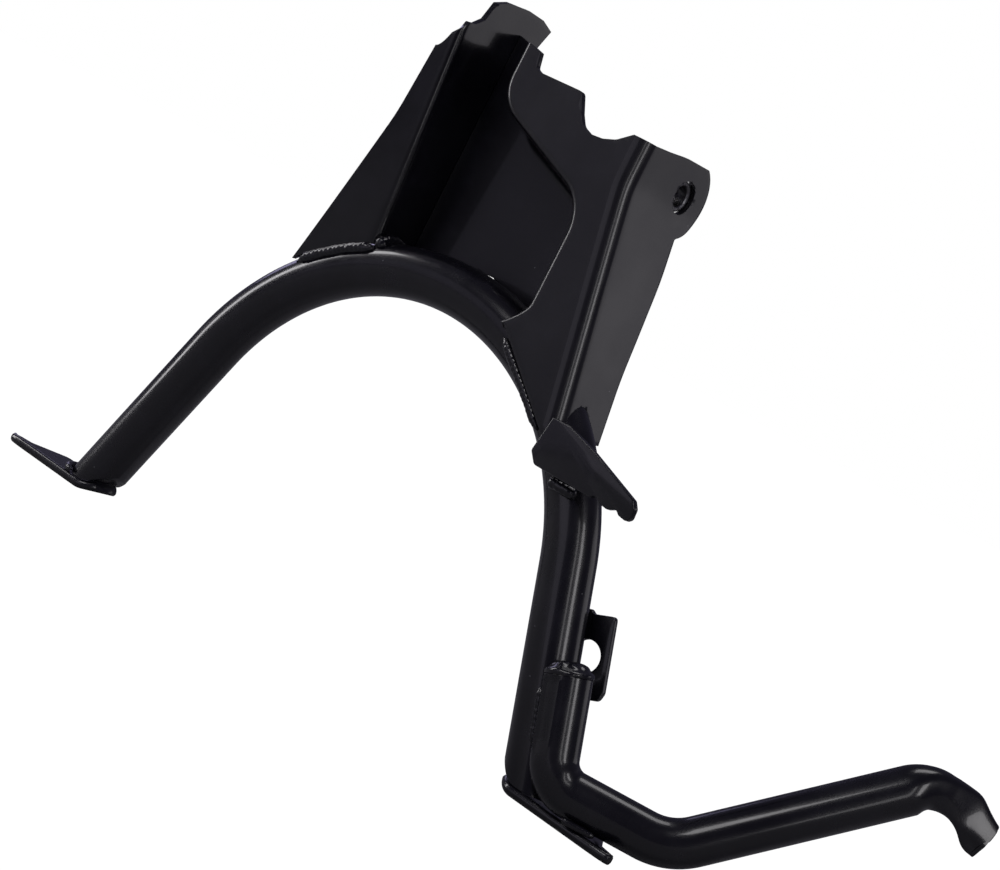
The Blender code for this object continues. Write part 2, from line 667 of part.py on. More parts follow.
def make_welds(arch_room):
    step = BEAD + GAP
    strip = [
        on_tube(-WALL_X - 0.004 - 0.032 * k / 7, ARCH_RADIUS + STRIP_REACH - step, 0.001)
        for k in range(8)
    ]
    cut(bead("strip_weld", strip, BEAD), arch_room)

    # Inner side of the left wall, over the top of the tube
    x = -WALL_X + GAP + BEAD
    over = []
    for k in range(7):
        turn = math.radians(-30 + 70 * k / 6)
        reach = ARCH_RADIUS + (TUBE_R + 0.001) * math.cos(turn)
        z = math.sqrt(reach**2 - x**2) - ARCH_RADIUS
        over.append(Vector((x, (TUBE_R + 0.001) * math.sin(turn), z)))
    cut(bead("corner_weld", over, BEAD, across=Vector((1, 0, 0))), arch_room)

    # Rear corner of the web and the left wall
    rear = WEB_Y + SHEET + GAP + 0.0016
    side = [Vector((x - 0.0008, rear, 0.030 + 0.0055 * k)) for k in range(7)]
    bead("web_side_weld", side, 0.0016)

    # Lower edge of the right plate
    lap = []
    first = Vector((LAP_X, 0, LAP_TOP))
    final = Vector((flange_x(LAP_LOW) - FOLD, 0, LAP_LOW))
    below = (final - first).normalized().cross(FRONT) * (step + 0.0002)
    for k in range(8):
        spot = first.lerp(final, 0.10 + 0.84 * k / 7) + below
        r = math.hypot(spot.x, spot.z + ARCH_RADIUS)
        reach = math.sqrt((TUBE_R + 0.0012) ** 2 - (r - ARCH_RADIUS) ** 2)
        lap.append(Vector((spot.x, -reach, spot.z)))
    cut(bead("plate_lap_weld", lap, BEAD), arch_room)

    # Under the spring hook
    under = []
    x0, low = hook_corner()
    for k in range(7):
        spot = Vector((x0 + 0.0075 + 0.018 * k / 6, 0, low - GAP - 0.003))
        r = math.hypot(spot.x, spot.z + ARCH_RADIUS)
        reach = math.sqrt((TUBE_R + 0.0022) ** 2 - (r - ARCH_RADIUS) ** 2)
        under.append(Vector((spot.x, -reach, spot.z)))
    cut(bead("tab_weld", under, 0.0028), arch_room)

    # Inner edge of the stop bracket
    axis = leg_point(-SOLE_DROP + STOP_UP)
    edge = axis + LEG_OUT * (-0.004 - GAP - 0.002) + Vector((0, TUBE_R - 0.0002, 0))
    line = [edge + LEG_DIR * STOP_LENGTH * (k / 8 - 0.4) for k in range(7)]
    cut(bead("stop_weld", line, 0.0019), arch_room)

    # Closed upper end of the lever
    path = lever_path()
    base = path[0] - LEG_DIR * GAP
    wide, tall = cross_frames(path, FRONT)[0]
    dome = []
    for k in range(5):
        turn = math.radians(80) * k / 4
        size = LEVER_R * 1.03 * math.cos(turn)
        centre = base - LEG_DIR * 0.0065 * math.sin(turn)
        dome.append(ring(centre, wide * size, tall * size, 16))
    cut(body("lever_top_weld", *loft(dome)), arch_room)

    # Front valley between the lever and the leg
    size = 0.0018
    away = LEG_OUT * math.cos(LEVER_SIDE) + FRONT * math.sin(LEVER_SIDE)
    across = FRONT * math.cos(LEVER_SIDE) - LEG_OUT * math.sin(LEVER_SIDE)
    d1, d2, span = TUBE_R + GAP + size, LEVER_R + GAP + size, TUBE_R + LEVER_R + GAP
    share = (d1**2 - d2**2 + span**2) / (2 * span)
    spot = away * (share - span) + across * (math.sqrt(d1**2 - share**2) + 0.0002)
    valley = [path[0] + spot + LEG_DIR * (0.006 + 0.004 * k) for k in range(7)]
    bead("lever_side_weld", valley, size)

    # Round the legs on the pads
    size = 0.0016
    level = PAD_TOP + GAP + size
    foot = leg_point(PAD_TOP)
    wide, deep = TUBE_R / math.cos(LEG_SPLAY) + GAP + size, CLEAR_R + size
    for name, side, first, final in (("left", -1, -72, 72), ("right", 1, 20, 76)):
        line = []
        for k in range(9):
            turn = math.radians(first + (final - first) * k / 8)
            x = foot.x + (wide + 0.0003) * math.cos(turn)
            line.append(Vector((side * x, (deep + 0.0003) * math.sin(turn), level)))
        bead(f"{name}_foot_weld", line, size, across=Vector((0, 0, 1)))

    # Front side of the lever on its pad
    size = 0.0015
    high = GAP + LEVER_R - size - GAP
    reach = math.sqrt((LEVER_R + GAP + size) ** 2 - high**2) + 0.0003
    level = PAD_TOP + GAP + size
    start = path[6]
    way = (path[7] - start).normalized()
    seam = []
    for k in range(6):
        spot = start + way * (0.003 + 0.003 * k) + way.cross(Vector((0, 0, 1))) * reach
        spot.z = level
        seam.append(spot)
    bead("lever_foot_weld", seam, size, across=Vector((0, 0, 1)))


def main():
    for piece in list(bpy.data.objects):
        bpy.data.objects.remove(piece, do_unlink=True)
    arch_room = make_arch_room()
    make_arch()
    make_saddle(arch_room)
    make_left_plate(arch_room)
    make_bush("left_pivot_bush", -WALL_X - SHEET - 0.001)
    make_bush("right_pivot_bush", EAR_X - BUSH_SUNK - BUSH_LENGTH)
    make_foot("left_foot", -1)
    make_foot("right_foot", 1)
    make_lever()
    make_hook()
    make_stop()
    make_welds(arch_room)


main()
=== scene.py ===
import json
import math

import bmesh
import bpy
from mathutils import Matrix, Vector

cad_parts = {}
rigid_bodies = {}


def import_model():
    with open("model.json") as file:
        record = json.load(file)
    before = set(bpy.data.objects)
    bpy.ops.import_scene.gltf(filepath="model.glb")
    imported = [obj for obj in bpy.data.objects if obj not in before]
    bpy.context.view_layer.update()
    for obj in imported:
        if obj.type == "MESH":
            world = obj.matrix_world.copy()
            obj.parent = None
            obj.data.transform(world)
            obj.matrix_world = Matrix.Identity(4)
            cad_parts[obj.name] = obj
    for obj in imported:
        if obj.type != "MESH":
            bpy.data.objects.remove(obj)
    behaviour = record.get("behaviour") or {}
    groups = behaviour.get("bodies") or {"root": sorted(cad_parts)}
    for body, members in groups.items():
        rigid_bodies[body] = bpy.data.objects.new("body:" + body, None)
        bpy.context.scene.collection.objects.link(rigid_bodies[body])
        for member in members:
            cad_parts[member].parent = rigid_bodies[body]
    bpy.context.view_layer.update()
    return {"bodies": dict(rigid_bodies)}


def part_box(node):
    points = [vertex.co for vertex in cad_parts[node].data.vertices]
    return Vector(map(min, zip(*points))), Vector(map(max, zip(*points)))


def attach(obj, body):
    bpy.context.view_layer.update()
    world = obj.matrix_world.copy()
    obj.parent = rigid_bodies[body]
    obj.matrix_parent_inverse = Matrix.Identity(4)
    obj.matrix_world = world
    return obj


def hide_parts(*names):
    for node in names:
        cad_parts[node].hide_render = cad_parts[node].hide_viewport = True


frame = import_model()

# Motorcycle centre stand, black painted steel, standing on its feet.
# Everything is in metres. Shapes are laid out from the crown, the middle of the arch tube's highest
# point, and moved to the CAD's place when a mesh is made.

bodyName = list(frame["bodies"])[0]
archLow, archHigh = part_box("arch_tube")
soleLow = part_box("left_foot")[0].z
tubeR = (archHigh.y - archLow.y) / 2
crown = Vector((0, (archLow.y + archHigh.y) / 2, archHigh.z - tubeR))
pivot = -crown  # the pivot axis, seen from the crown

stand = {
    "bend": 0.125,  # arch radius, to the tube's centreline
    "splay": math.radians(20.3),
    "soleDrop": crown.z - soleLow,
    "sheet": 0.003,
    "gap": 0.0003,
    "padThickness": 0.0045,
}

bend = stand["bend"]
gap = stand["gap"]
sheet = stand["sheet"]
splay = stand["splay"]
archMiddle = Vector((0, 0, -bend))
legDown = Vector((math.sin(splay), 0, -math.cos(splay)))
legOut = Vector((math.cos(splay), 0, math.sin(splay)))
front = Vector((0, -1, 0))
up = Vector((0, 0, 1))
padTop = -stand["soleDrop"] + stand["padThickness"]
bendEnd = archMiddle + legOut * bend


def legPoint(z):
    return bendEnd + legDown * ((bendEnd.z - z) / math.cos(splay))


# Node trees


def feed(tree, made, inputs):
    # Each input, by name or place, takes a value or is linked to the output given
    for name, value in inputs.items():
        if isinstance(value, bpy.types.NodeSocket):
            tree.links.new(value, made.inputs[name])
        else:
            made.inputs[name].default_value = value
    return made


def addNode(tree, kind, inputs=None, **values):
    made = tree.nodes.new(kind)
    for name, value in values.items():
        setattr(made, name, value)
    return feed(tree, made, inputs or {})


def maths(tree, operation, *inputs):
    return addNode(tree, "ShaderNodeMath", dict(enumerate(inputs)), operation=operation).outputs[0]


def noiseAt(tree, place, scale, detail=3.0, roughness=0.5):
    values = {"Scale": scale, "Detail": detail, "Roughness": roughness, "Vector": place}
    return addNode(tree, "ShaderNodeTexNoise", values).outputs[0]


def spread(tree, value, low, high, outLow, outHigh):
    values = {"Value": value, "From Min": low, "From Max": high, "To Min": outLow, "To Max": outHigh}
    return addNode(tree, "ShaderNodeMapRange", values, clamp=True).outputs[0]


def mixed(tree, first, second, factor):
    ends = [(*end, 1) if isinstance(end, tuple) else end for end in (first, second)]
    values = {"A": ends[0], "B": ends[1], "Factor": factor}
    return addNode(tree, "ShaderNodeMix", values, data_type="RGBA").outputs["Result"]


def bumped(tree, height, distance, under=None):
    values = {"Distance": distance, "Strength": 1, "Height": height}
    if under:
        values["Normal"] = under
    return addNode(tree, "ShaderNodeBump", values).outputs["Normal"]


def emptyMaterial(name):
    made = bpy.data.materials.new(name)
    made.use_nodes = True
    return made, made.node_tree, made.node_tree.nodes["Principled BSDF"]


# Finishes

paintLook = {
    "colour": (0.0042, 0.0040, 0.0066),
    "haze": (0.0085, 0.0080, 0.0130),  # thin dry film of dust and polish
    "roughness": (0.19, 0.32),
    "coat": 0.45,
    "coatRoughness": 0.07,
    "peel": 0.000005,  # depth of the orange peel
    "peelSize": 620,
    "wave": 0.00028,  # slow waviness of the sheet under the paint
    "waveSize": 34,
    "specks": (0.14, 0.14, 0.152),  # the few dust nibs
}


def paintMaterial(name, **changes):
    look = {**paintLook, **changes}
    made, tree, shader = emptyMaterial(name)
    place = addNode(tree, "ShaderNodeTexCoord").outputs["Object"]

    # Colour: deep black, a faint haze in patches, a few pale nibs of dust
    haze = spread(tree, noiseAt(tree, place, 46, 6, 0.62), 0.48, 0.78, 0, 1)
    tint = mixed(tree, look["colour"], look["haze"], haze)
    cells = addNode(tree, "ShaderNodeTexVoronoi", {"Scale": 105, "Vector": place})
    chosen = addNode(tree, "ShaderNodeSeparateColor", {0: cells.outputs["Color"]})
    nib = maths(tree, "LESS_THAN", cells.outputs["Distance"], 0.034)
    nib = maths(tree, "MULTIPLY", nib, maths(tree, "GREATER_THAN", chosen.outputs[0], 0.86))

    # Gloss: duller in cloudy patches and fine wipes
    cloud = noiseAt(tree, place, 23, 5, 0.6)
    turned = {"Rotation": (0.3, 0.9, 0.5), "Scale": (900, 40, 40), "Vector": place}
    marks = noiseAt(tree, addNode(tree, "ShaderNodeMapping", turned).outputs["Vector"], 1, 2)
    dull = maths(tree, "ADD", maths(tree, "MULTIPLY", cloud, 0.88), maths(tree, "MULTIPLY", marks, 0.12))

    # Relief: orange peel over the sheet's slow waves
    wave = bumped(tree, noiseAt(tree, place, look["waveSize"], 2, 0.35), look["wave"])
    peel = bumped(tree, noiseAt(tree, place, look["peelSize"], 2, 0.4), look["peel"], wave)

    values = {"Coat Weight": look["coat"], "Coat Roughness": look["coatRoughness"], "IOR": 1.48}
    values["Base Color"] = mixed(tree, tint, look["specks"], nib)
    values["Roughness"] = spread(tree, dull, 0.33, 0.70, *look["roughness"])
    values["Normal"] = peel
    feed(tree, shader, values)
    return made


def steelMaterial(name):
    made, tree, shader = emptyMaterial(name)
    place = addNode(tree, "ShaderNodeTexCoord").outputs["Object"]
    rings = {"Scale": 1500, "Distortion": 0.8, "Vector": place}
    turned = addNode(tree, "ShaderNodeTexWave", rings, wave_type="RINGS", rings_direction="X")
    stain = noiseAt(tree, place, 320, 5, 0.6)
    share = spread(tree, stain, 0.42, 0.70, 0, 1)
    values = {"Metallic": 1, "Anisotropic": 0.4}
    values["Base Color"] = mixed(tree, (0.30, 0.30, 0.31), (0.075, 0.070, 0.068), share)
    values["Roughness"] = spread(tree, stain, 0.3, 0.7, 0.26, 0.48)
    values["Normal"] = bumped(tree, turned.outputs["Fac"], 0.00002)
    feed(tree, shader, values)
    return made


finishes = {
    "painted_steel_tube": paintMaterial("blackEnamelOnTube", wave=0.00016),
    "painted_pressed_sheet": paintMaterial("blackEnamelOnPressing", wave=0.00022, roughness=(0.28, 0.40)),
    "painted_side_sheet": paintMaterial("blackEnamelOnSideSheet", roughness=(0.16, 0.28)),
    "painted_foot_pad": paintMaterial("blackEnamelOnPad", roughness=(0.2, 0.38)),
    "painted_lever_tube": paintMaterial("blackEnamelOnLever", wave=0.0002),
    "painted_hook_plate": paintMaterial("blackEnamelOnHook", roughness=(0.2, 0.34)),
    "painted_bracket": paintMaterial("blackEnamelOnBracket", roughness=(0.24, 0.4)),
    "painted_weld": paintMaterial("blackEnamelOnWeld", roughness=(0.15, 0.34), peel=0.00003, peelSize=900),
    "bush_steel": steelMaterial("turnedSteel"),
}
print("scene: finishes made")


# Meshes and pieces


def meshOf(name, points, faces, place=True):
    mesh = bpy.data.meshes.new(name)
    mesh.from_pydata([Vector(p) + (crown if place else Vector()) for p in points], [], faces)
    return mesh


def outward(mesh):
    shape = bmesh.new()
    shape.from_mesh(mesh)
    bmesh.ops.remove_doubles(shape, verts=shape.verts, dist=1e-6)
    bmesh.ops.recalc_face_normals(shape, faces=shape.faces)
    shape.to_mesh(mesh)
    shape.free()


def objectOf(name, mesh):
    made = bpy.data.objects.new(name, mesh)
    bpy.context.scene.collection.objects.link(made)
    return made


def baked(made):
    # A plain mesh in place of the object's live modifiers
    bpy.context.view_layer.update()
    graph = bpy.context.evaluated_depsgraph_get()
    mesh = bpy.data.meshes.new_from_object(made.evaluated_get(graph))
    old = made.data
    made.modifiers.clear()
    made.data = mesh
    mesh.name = made.name
    bpy.data.meshes.remove(old)
    return made


def finished(made, node, slotName, angle=35):
    mesh = baked(made).data
    mesh.materials.clear()
    mesh.materials.append(finishes[slotName])
    mesh.polygons.foreach_set("material_index", [0] * len(mesh.polygons))
    mesh.shade_smooth()
    mesh.set_sharp_from_angle(angle=math.radians(angle))
    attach(made, bodyName)
    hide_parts(node)


def bevelled(made, width, segments=3, angle=40, harden=True):
    step = made.modifiers.new("roundedEdges", "BEVEL")
    step.width = width
    step.segments = segments
    step.limit_method = "ANGLE"
    step.angle_limit = math.radians(angle)
    step.harden_normals = harden
    step.use_clamp_overlap = True


def cutAway(made, *cutters, keep=None):
    # Takes the cutters' shapes away in this order, then drops all cutters but the one to keep
    for cutter in cutters:
        step = made.modifiers.new(cutter.name, "BOOLEAN")
        step.operation = "DIFFERENCE"
        step.solver = "EXACT"
        step.object = cutter
    baked(made)
    for cutter in cutters:
        if cutter != keep:
            bpy.data.objects.remove(cutter, do_unlink=True)


def hump(value, middle, width):
    # A smooth swelling, 1 at the middle
    return math.exp(-(((value - middle) / width) ** 2))


def ringAt(centre, wide, tall, sides):
    turns = [2 * math.pi * k / sides for k in range(sides)]
    return [centre + wide * math.cos(t) + tall * math.sin(t) for t in turns]


def loft(rings, loop=False):
    sides = len(rings[0])
    rows = len(rings)
    points = [p for row in rings for p in row]
    faces = []
    for j in range(rows if loop else rows - 1):
        a, b = j * sides, (j + 1) % rows * sides
        faces += [(a + k, a + (k + 1) % sides, b + (k + 1) % sides, b + k) for k in range(sides)]
    if not loop:
        faces += [tuple(range(sides)), tuple(range((rows - 1) * sides, rows * sides))]
    return points, faces


def solid(name, points, faces):
    mesh = meshOf(name, points, faces)
    outward(mesh)
    return objectOf(name, mesh)


def crossFrames(path, side):
    frames = []
    for k, _ in enumerate(path):
        ahead = (path[min(k + 1, len(path) - 1)] - path[max(k - 1, 0)]).normalized()
        side = (side - ahead * side.dot(ahead)).normalized()
        frames.append((side, ahead.cross(side)))
    return frames


def roundedPath(points, radii, steps):
    path = [points[0]]
    for k in range(1, len(points) - 1):
        corner = points[k]
        back = (points[k - 1] - corner).normalized()
        ahead = (points[k + 1] - corner).normalized()
        half = back.angle(ahead) / 2
        reach = radii[k - 1] / math.tan(half)
        middle = corner + (back + ahead).normalized() * radii[k - 1] / math.sin(half)
        first = corner + back * reach - middle
        final = corner + ahead * reach - middle
        turn = first.angle(final)
        for j in range(steps + 1):
            a, b = math.sin(turn * (1 - j / steps)), math.sin(turn * j / steps)
            path.append(middle + (first * a + final * b) / math.sin(turn))
    return path + [points[-1]]


def evenly(path, count):
    # The same path with equal steps
    reach = [0.0]
    for a, b in zip(path, path[1:]):
        reach.append(reach[-1] + (b - a).length)
    out = []
    at = 0
    for k in range(count + 1):
        want = reach[-1] * k / count
        while at < len(path) - 2 and reach[at + 1] < want:
            at += 1
        out.append(path[at].lerp(path[at + 1], (want - reach[at]) / (reach[at + 1] - reach[at])))
    return out


def prism(outline, low, high):
    return loft([[Vector((x, y, z)) for x, z in outline] for y in (low, high)])


def drum(name, centre, radius, low, high, axis="Y", sides=96):
    unit = Vector((1, 0, 0)) if axis == "X" else Vector((0, 1, 0))
    other = Vector((0, 1, 0)) if axis == "X" else Vector((1, 0, 0))
    ends = [ringAt(centre + unit * at, other * radius, up * radius, sides) for at in (low, high)]
    return solid(name, *loft(ends))


def lineAt(line, x):
    for (x0, y0), (x1, y1) in zip(line, line[1:]):
        if x <= x1 or (x1, y1) == line[-1]:
            return y0 + (y1 - y0) * (x - x0) / (x1 - x0)
    return line[-1][1]


def eased(line, x):
    # Like lineAt, but rounded off at each point of the line
    span = abs(line[-1][0] - line[0][0]) / 60
    return sum(lineAt(line, x + span * k) for k in range(-3, 4)) / 7


def roundedOutline(corners, radii, steps=6):
    # A closed outline in X and Z with its corners turned on their own radii
    outline = []
    count = len(corners)
    for k, (x, z) in enumerate(corners):
        corner = Vector((x, z))
        back = Vector(corners[k - 1]) - corner
        ahead = Vector(corners[(k + 1) % count]) - corner
        radius = radii[k]
        half = back.angle(ahead) / 2
        if radius <= 0 or half > math.radians(88):
            outline.append((x, z))
            continue
        reach = min(radius / math.tan(half), back.length * 0.45, ahead.length * 0.45)
        first, final = corner + back.normalized() * reach, corner + ahead.normalized() * reach
        for j in range(steps + 1):
            t = j / steps
            spot = first * (1 - t) ** 2 + corner * 2 * t * (1 - t) + final * t**2
            outline.append((spot.x, spot.y))
    return outline


# Arch tube: a path swept by Geometry Nodes, its feet cut to the pads

arch = {"pathSteps": 96, "sides": 72, "below": 0.012}


def startTree(name, floats):
    # A tree with a number input for each name, beside geometry, sides and finish
    tree = bpy.data.node_groups.new(name, "GeometryNodeTree")
    kinds = {"Geometry": "Geometry", **dict.fromkeys(floats, "Float"), "Sides": "Int", "Finish": "Material"}
    for socket, kind in kinds.items():
        tree.interface.new_socket(socket, in_out="INPUT", socket_type=f"NodeSocket{kind}")
    tree.interface.new_socket("Geometry", in_out="OUTPUT", socket_type="NodeSocketGeometry")
    return tree, addNode(tree, "NodeGroupInput")


def endTree(tree, given, geometry):
    real = addNode(tree, "GeometryNodeRealizeInstances", {0: geometry})
    coating = {"Geometry": real.outputs[0], "Material": given.outputs["Finish"]}
    coat = addNode(tree, "GeometryNodeSetMaterial", coating)
    addNode(tree, "NodeGroupOutput", {0: coat.outputs[0]})
    return tree


def roundSection(tree, given):
    values = {"Radius": given.outputs["Radius"], "Resolution": given.outputs["Sides"]}
    return addNode(tree, "GeometryNodeCurvePrimitiveCircle", values).outputs[0]


def sweptAlong(tree, curve, section):
    values = {"Curve": curve, "Profile Curve": section, "Fill Caps": True}
    return addNode(tree, "GeometryNodeCurveToMesh", values)


def sweepTree():
    tree, given = startTree("sweepTube", ["Radius"])
    curve = addNode(tree, "GeometryNodeMeshToCurve", {0: given.outputs["Geometry"]})
    swept = sweptAlong(tree, curve.outputs[0], roundSection(tree, given))
    return endTree(tree, given, swept.outputs[0])


def withTree(made, tree, **values):
    step = made.modifiers.new(tree.name, "NODES")
    step.node_group = tree
    for item in tree.interface.items_tree:
        if item.item_type == "SOCKET" and item.in_out == "INPUT" and item.name in values:
            step[item.identifier] = values[item.name]


def pathObject(name, path):
    mesh = bpy.data.meshes.new(name)
    mesh.from_pydata([p + crown for p in path], [(k, k + 1) for k in range(len(path) - 1)], [])
    return objectOf(name, mesh)


def archPath(drop, extra, steps):
    end = legPoint(drop) + legDown * extra
    sweep = math.pi / 2 - splay
    path = [Vector((-end.x, 0, end.z))]
    for k in range(steps + 1):
        turn = sweep * (2 * k / steps - 1)
        path.append(archMiddle + Vector((math.sin(turn), 0, math.cos(turn))) * bend)
    return path + [end]


foot = {
    "width": 0.028,
    "length": 0.054,  # from the leg's axis to the front tip
    "curl": 0.014,
    "wrap": math.radians(35),
    "lip": 0.0007,
}


def makePadRoom(side):
    middle = legPoint(padTop).x
    radius = foot["curl"] - gap
    outline = [(middle + 0.05, padTop + gap)]
    for k in range(17):
        turn = (foot["wrap"] + math.radians(1.5)) * k / 16
        outline.append((middle - radius * math.sin(turn), padTop + foot["curl"] - radius * math.cos(turn)))
    x, z = outline[-1]
    outline.append((x - 0.02 * math.cos(turn), z + 0.02 * math.sin(turn)))
    outline += [(middle - 0.05, padTop - 0.035), (middle + 0.05, padTop - 0.035)]
    return solid(f"padRoom{side}", *prism([(side * x, z) for x, z in outline], -0.03, 0.03))


def makeArch(tree):
    made = pathObject("archTube", archPath(padTop, arch["below"], arch["pathSteps"]))
    withTree(made, tree, Radius=tubeR, Sides=arch["sides"], Finish=finishes["painted_steel_tube"])
    cutAway(made, makePadRoom(-1), makePadRoom(1))
    finished(made, "arch_tube", "painted_steel_tube")


def makeArchRoom():
    room = pathObject("archRoom", archPath(padTop, 0.02, 72))
    withTree(room, tubeTree, Radius=tubeR + gap * 0.5, Sides=72)
    return baked(room)


tubeTree = sweepTree()
makeArch(tubeTree)
archRoom = makeArchRoom()
print("scene: arch tube made")


# Saddle: web, drafted step, right plate, fold and right ear

saddle = {
    "plateY": -(tubeR + gap + sheet + 0.0002),
    "webY": pivot.y - 0.0075 - 0.0006 - sheet,
    "fold": 0.008,
    "press": 0.0036,
    "draft": math.radians(13.8),
    "earX": 0.066,
    "earR": 0.0075 + 0.0113,
    "flare": 0.236,
    "wallX": 0.050,
    "stepTopX": -0.015,
    "stepLowX": 0.051,
    "stepHigh": 0.0878,
    "stepLow": 0.0618,
    "stepTurn": (0.015, 0.025),
    "webRise": 0.036,
    "plateRise": 0.021,
    "lapX": 0.0405,
    "lapTop": -0.0025,
    "lapLow": -0.0366,
    "edge": 0.0007,  # radius of the sheet's blanked edges
    "cutEdge": 0.00035,  # and of its cut edges
    "hole": 0.0079,  # radius of the hole round each bush
}


def stepLine():
    s = saddle
    corners = [(s["stepTopX"], pivot.z + 0.031), (s["stepTopX"], s["stepHigh"])]
    corners += [(s["stepLowX"], s["stepLow"]), (s["stepLowX"], s["lapTop"])]
    path = evenly(roundedPath([Vector((x, 0, z)) for x, z in corners], s["stepTurn"], 40), 84)
    ways = []
    for k, _ in enumerate(path):
        ahead = (path[min(k + 1, len(path) - 1)] - path[max(k - 1, 0)]).normalized()
        ways.append(Vector((ahead.z, 0, -ahead.x)))
    return path, ways


def stepSection():
    # (run, depth) from the plate's face down the drafted step to the web
    s = saddle
    depth = s["webY"] - s["plateY"]
    lean = math.pi / 2 - s["draft"]
    crest, toe = s["press"], s["press"] * 0.95
    slope = (depth - (crest + toe) * (1 - math.cos(lean))) / math.sin(lean)
    turns = [lean * k / 8 for k in range(9)]
    section = [(crest * math.sin(t), crest * (1 - math.cos(t))) for t in turns]
    run = (crest + toe) * math.sin(lean) + slope * math.cos(lean)
    x, y = section[-1]
    section += [(x + slope * math.cos(lean) * k / 5, y + slope * math.sin(lean) * k / 5) for k in range(1, 5)]
    section += [(run - toe * math.sin(t), depth - toe * (1 - math.cos(t))) for t in turns[::-1]]
    return section


def flangeX(z):
    rise = pivot.z - 0.0083 - z
    soft = 0.004
    return saddle["earX"] + saddle["flare"] * (rise + math.sqrt(rise**2 + soft**2)) / 2 - 0.0003


def earEdge(z, line):
    rise = z - pivot.z
    edge = eased(line, -z)
    if abs(rise) >= saddle["earR"]:
        return edge
    return max(pivot.y + math.sqrt(saddle["earR"] ** 2 - rise**2), edge)


def coons(left, right, top, low):
    # Columns of a sheet spread between two end columns, a top line and a lower line
    span = top[-1][0] - top[0][0]
    columns = []
    for (xt, zt), (xb, zb) in zip(top, low):
        u = (xt - top[0][0]) / span
        column = []
        for a, b in zip(left, right):
            s = (left[0][1] - a[1]) / (left[0][1] - left[-1][1])
            here = []
            for axis, t, l in ((0, xt, xb), (1, zt, zb)):
                ends = (1 - u) * (1 - s) * left[0][axis] + u * (1 - s) * right[0][axis]
                ends += (1 - u) * s * left[-1][axis] + u * s * right[-1][axis]
                here.append((1 - u) * a[axis] + u * b[axis] + (1 - s) * t + s * l - ends)
            column.append(here)
        columns.append(column)
    return columns


def denser(line, most):
    # The same line of points, with its longer pieces divided
    out = [line[0]]
    for a, b in zip(line, line[1:]):
        pieces = max(1, math.ceil(abs(b[0] - a[0]) / most))
        for k in range(1, pieces + 1):
            out.append((a[0] + (b[0] - a[0]) * k / pieces, a[1] + (b[1] - a[1]) * k / pieces))
    return out


def spreadLine(line, fractions):
    x0, x1 = line[0][0], line[-1][0]
    return [(x0 + (x1 - x0) * f, eased(line, x0 + (x1 - x0) * f)) for f in fractions]


def sheetObject(name, columns, edge):
    # A sheet of even thickness through columns of points, with rounded edges
    rows = len(columns[0])
    faces = []
    for k in range(len(columns) - 1):
        for j in range(rows - 1):
            a, b = k * rows + j, (k + 1) * rows + j
            faces.append((a, a + 1, b + 1, b))
    made = objectOf(name, meshOf(name, [p for column in columns for p in column], faces))
    thick = made.modifiers.new("thickness", "SOLIDIFY")
    thick.thickness = sheet
    thick.offset = -1
    bevelled(made, edge, 3, 60, harden=False)
    return made


def saddleColumns():
    s = saddle
    crest, ways = stepLine()
    section = stepSection()
    depth = s["webY"] - s["plateY"]
    drop = [(crest[0].z - p.z) / (crest[0].z - crest[-1].z) for p in crest]
    toe = [(s["stepLowX"] - s["lapX"]) * max(0, 1 - (p.z - s["lapTop"]) / 0.0125) ** 1.4 for p in crest]
    webTop, webLow = pivot.z + s["webRise"], s["lapTop"]
    foots = [p + way * section[-1][0] for p, way in zip(crest, ways)]
    share = [(foots[0].z - p.z) / (foots[0].z - foots[-1].z) for p in foots]
    wall = [Vector((-s["wallX"] + gap, s["webY"], webTop + (webLow - webTop) * f)) for f in share]
    foots = [p + Vector((0, s["webY"], 0)) for p in foots]
    columns = [[a.lerp(b, k / 9) for a, b in zip(wall, foots)] for k in range(9)]
    for run, deep in section[::-1]:
        column = []
        for p, way, slip in zip(crest, ways, toe):
            column.append(p + way * run + Vector((-slip * (1 - deep / depth), s["plateY"] + deep, 0)))
        columns.append(column)

    # Right plate and fold
    foldTop, foldLow = pivot.z + 0.013, s["lapLow"]
    foldLine = [foldTop + (foldLow - foldTop) * f**1.55 for f in drop]
    foldStart = [Vector((flangeX(z) - s["fold"], s["plateY"], z)) for z in foldLine]
    first = columns[-1]
    columns += [[a.lerp(b, k / 14) for a, b in zip(first, foldStart)] for k in range(1, 15)]

    # Right flange, laid out flat and then bent
    arc = s["fold"] * math.pi / 2
    flat = arc - s["plateY"] - s["fold"]
    rear = [(-0.098, pivot.y + 0.008), (-0.045, 0.034), (-0.021, 0.029), (0.002, 0.024), (0.031, 0.021)]
    earTop, earLow = pivot.z + 0.0166, -0.0325
    heights = [earTop + (earLow - earTop) * f**1.45 for f in drop]
    back = [(flat + earEdge(z, rear), z) for z in heights]
    top = [(arc * k / 12, foldTop) for k in range(13)]
    rough = [(arc, foldTop), (flat + 0.008, foldTop + 0.0015), (flat + 0.020, foldTop + 0.003), back[0]]
    top += denser(rough, 0.0025)[1:]
    low = [(0, foldLow), (arc, foldLow + 0.003), back[-1]]
    low = spreadLine(low, [x / back[0][0] for x, _ in top])
    for column in coons([(0, z) for z in foldLine], back, top, low)[1:]:
        bent = []
        for w, z in column:
            turn = min(w, arc) / s["fold"]
            x = flangeX(z) - s["fold"] + s["fold"] * math.sin(turn)
            y = s["plateY"] + s["fold"] * (1 - math.cos(turn)) + max(0, w - arc)
            bent.append(Vector((x, y, z)))
        columns.append(bent)
    return columns


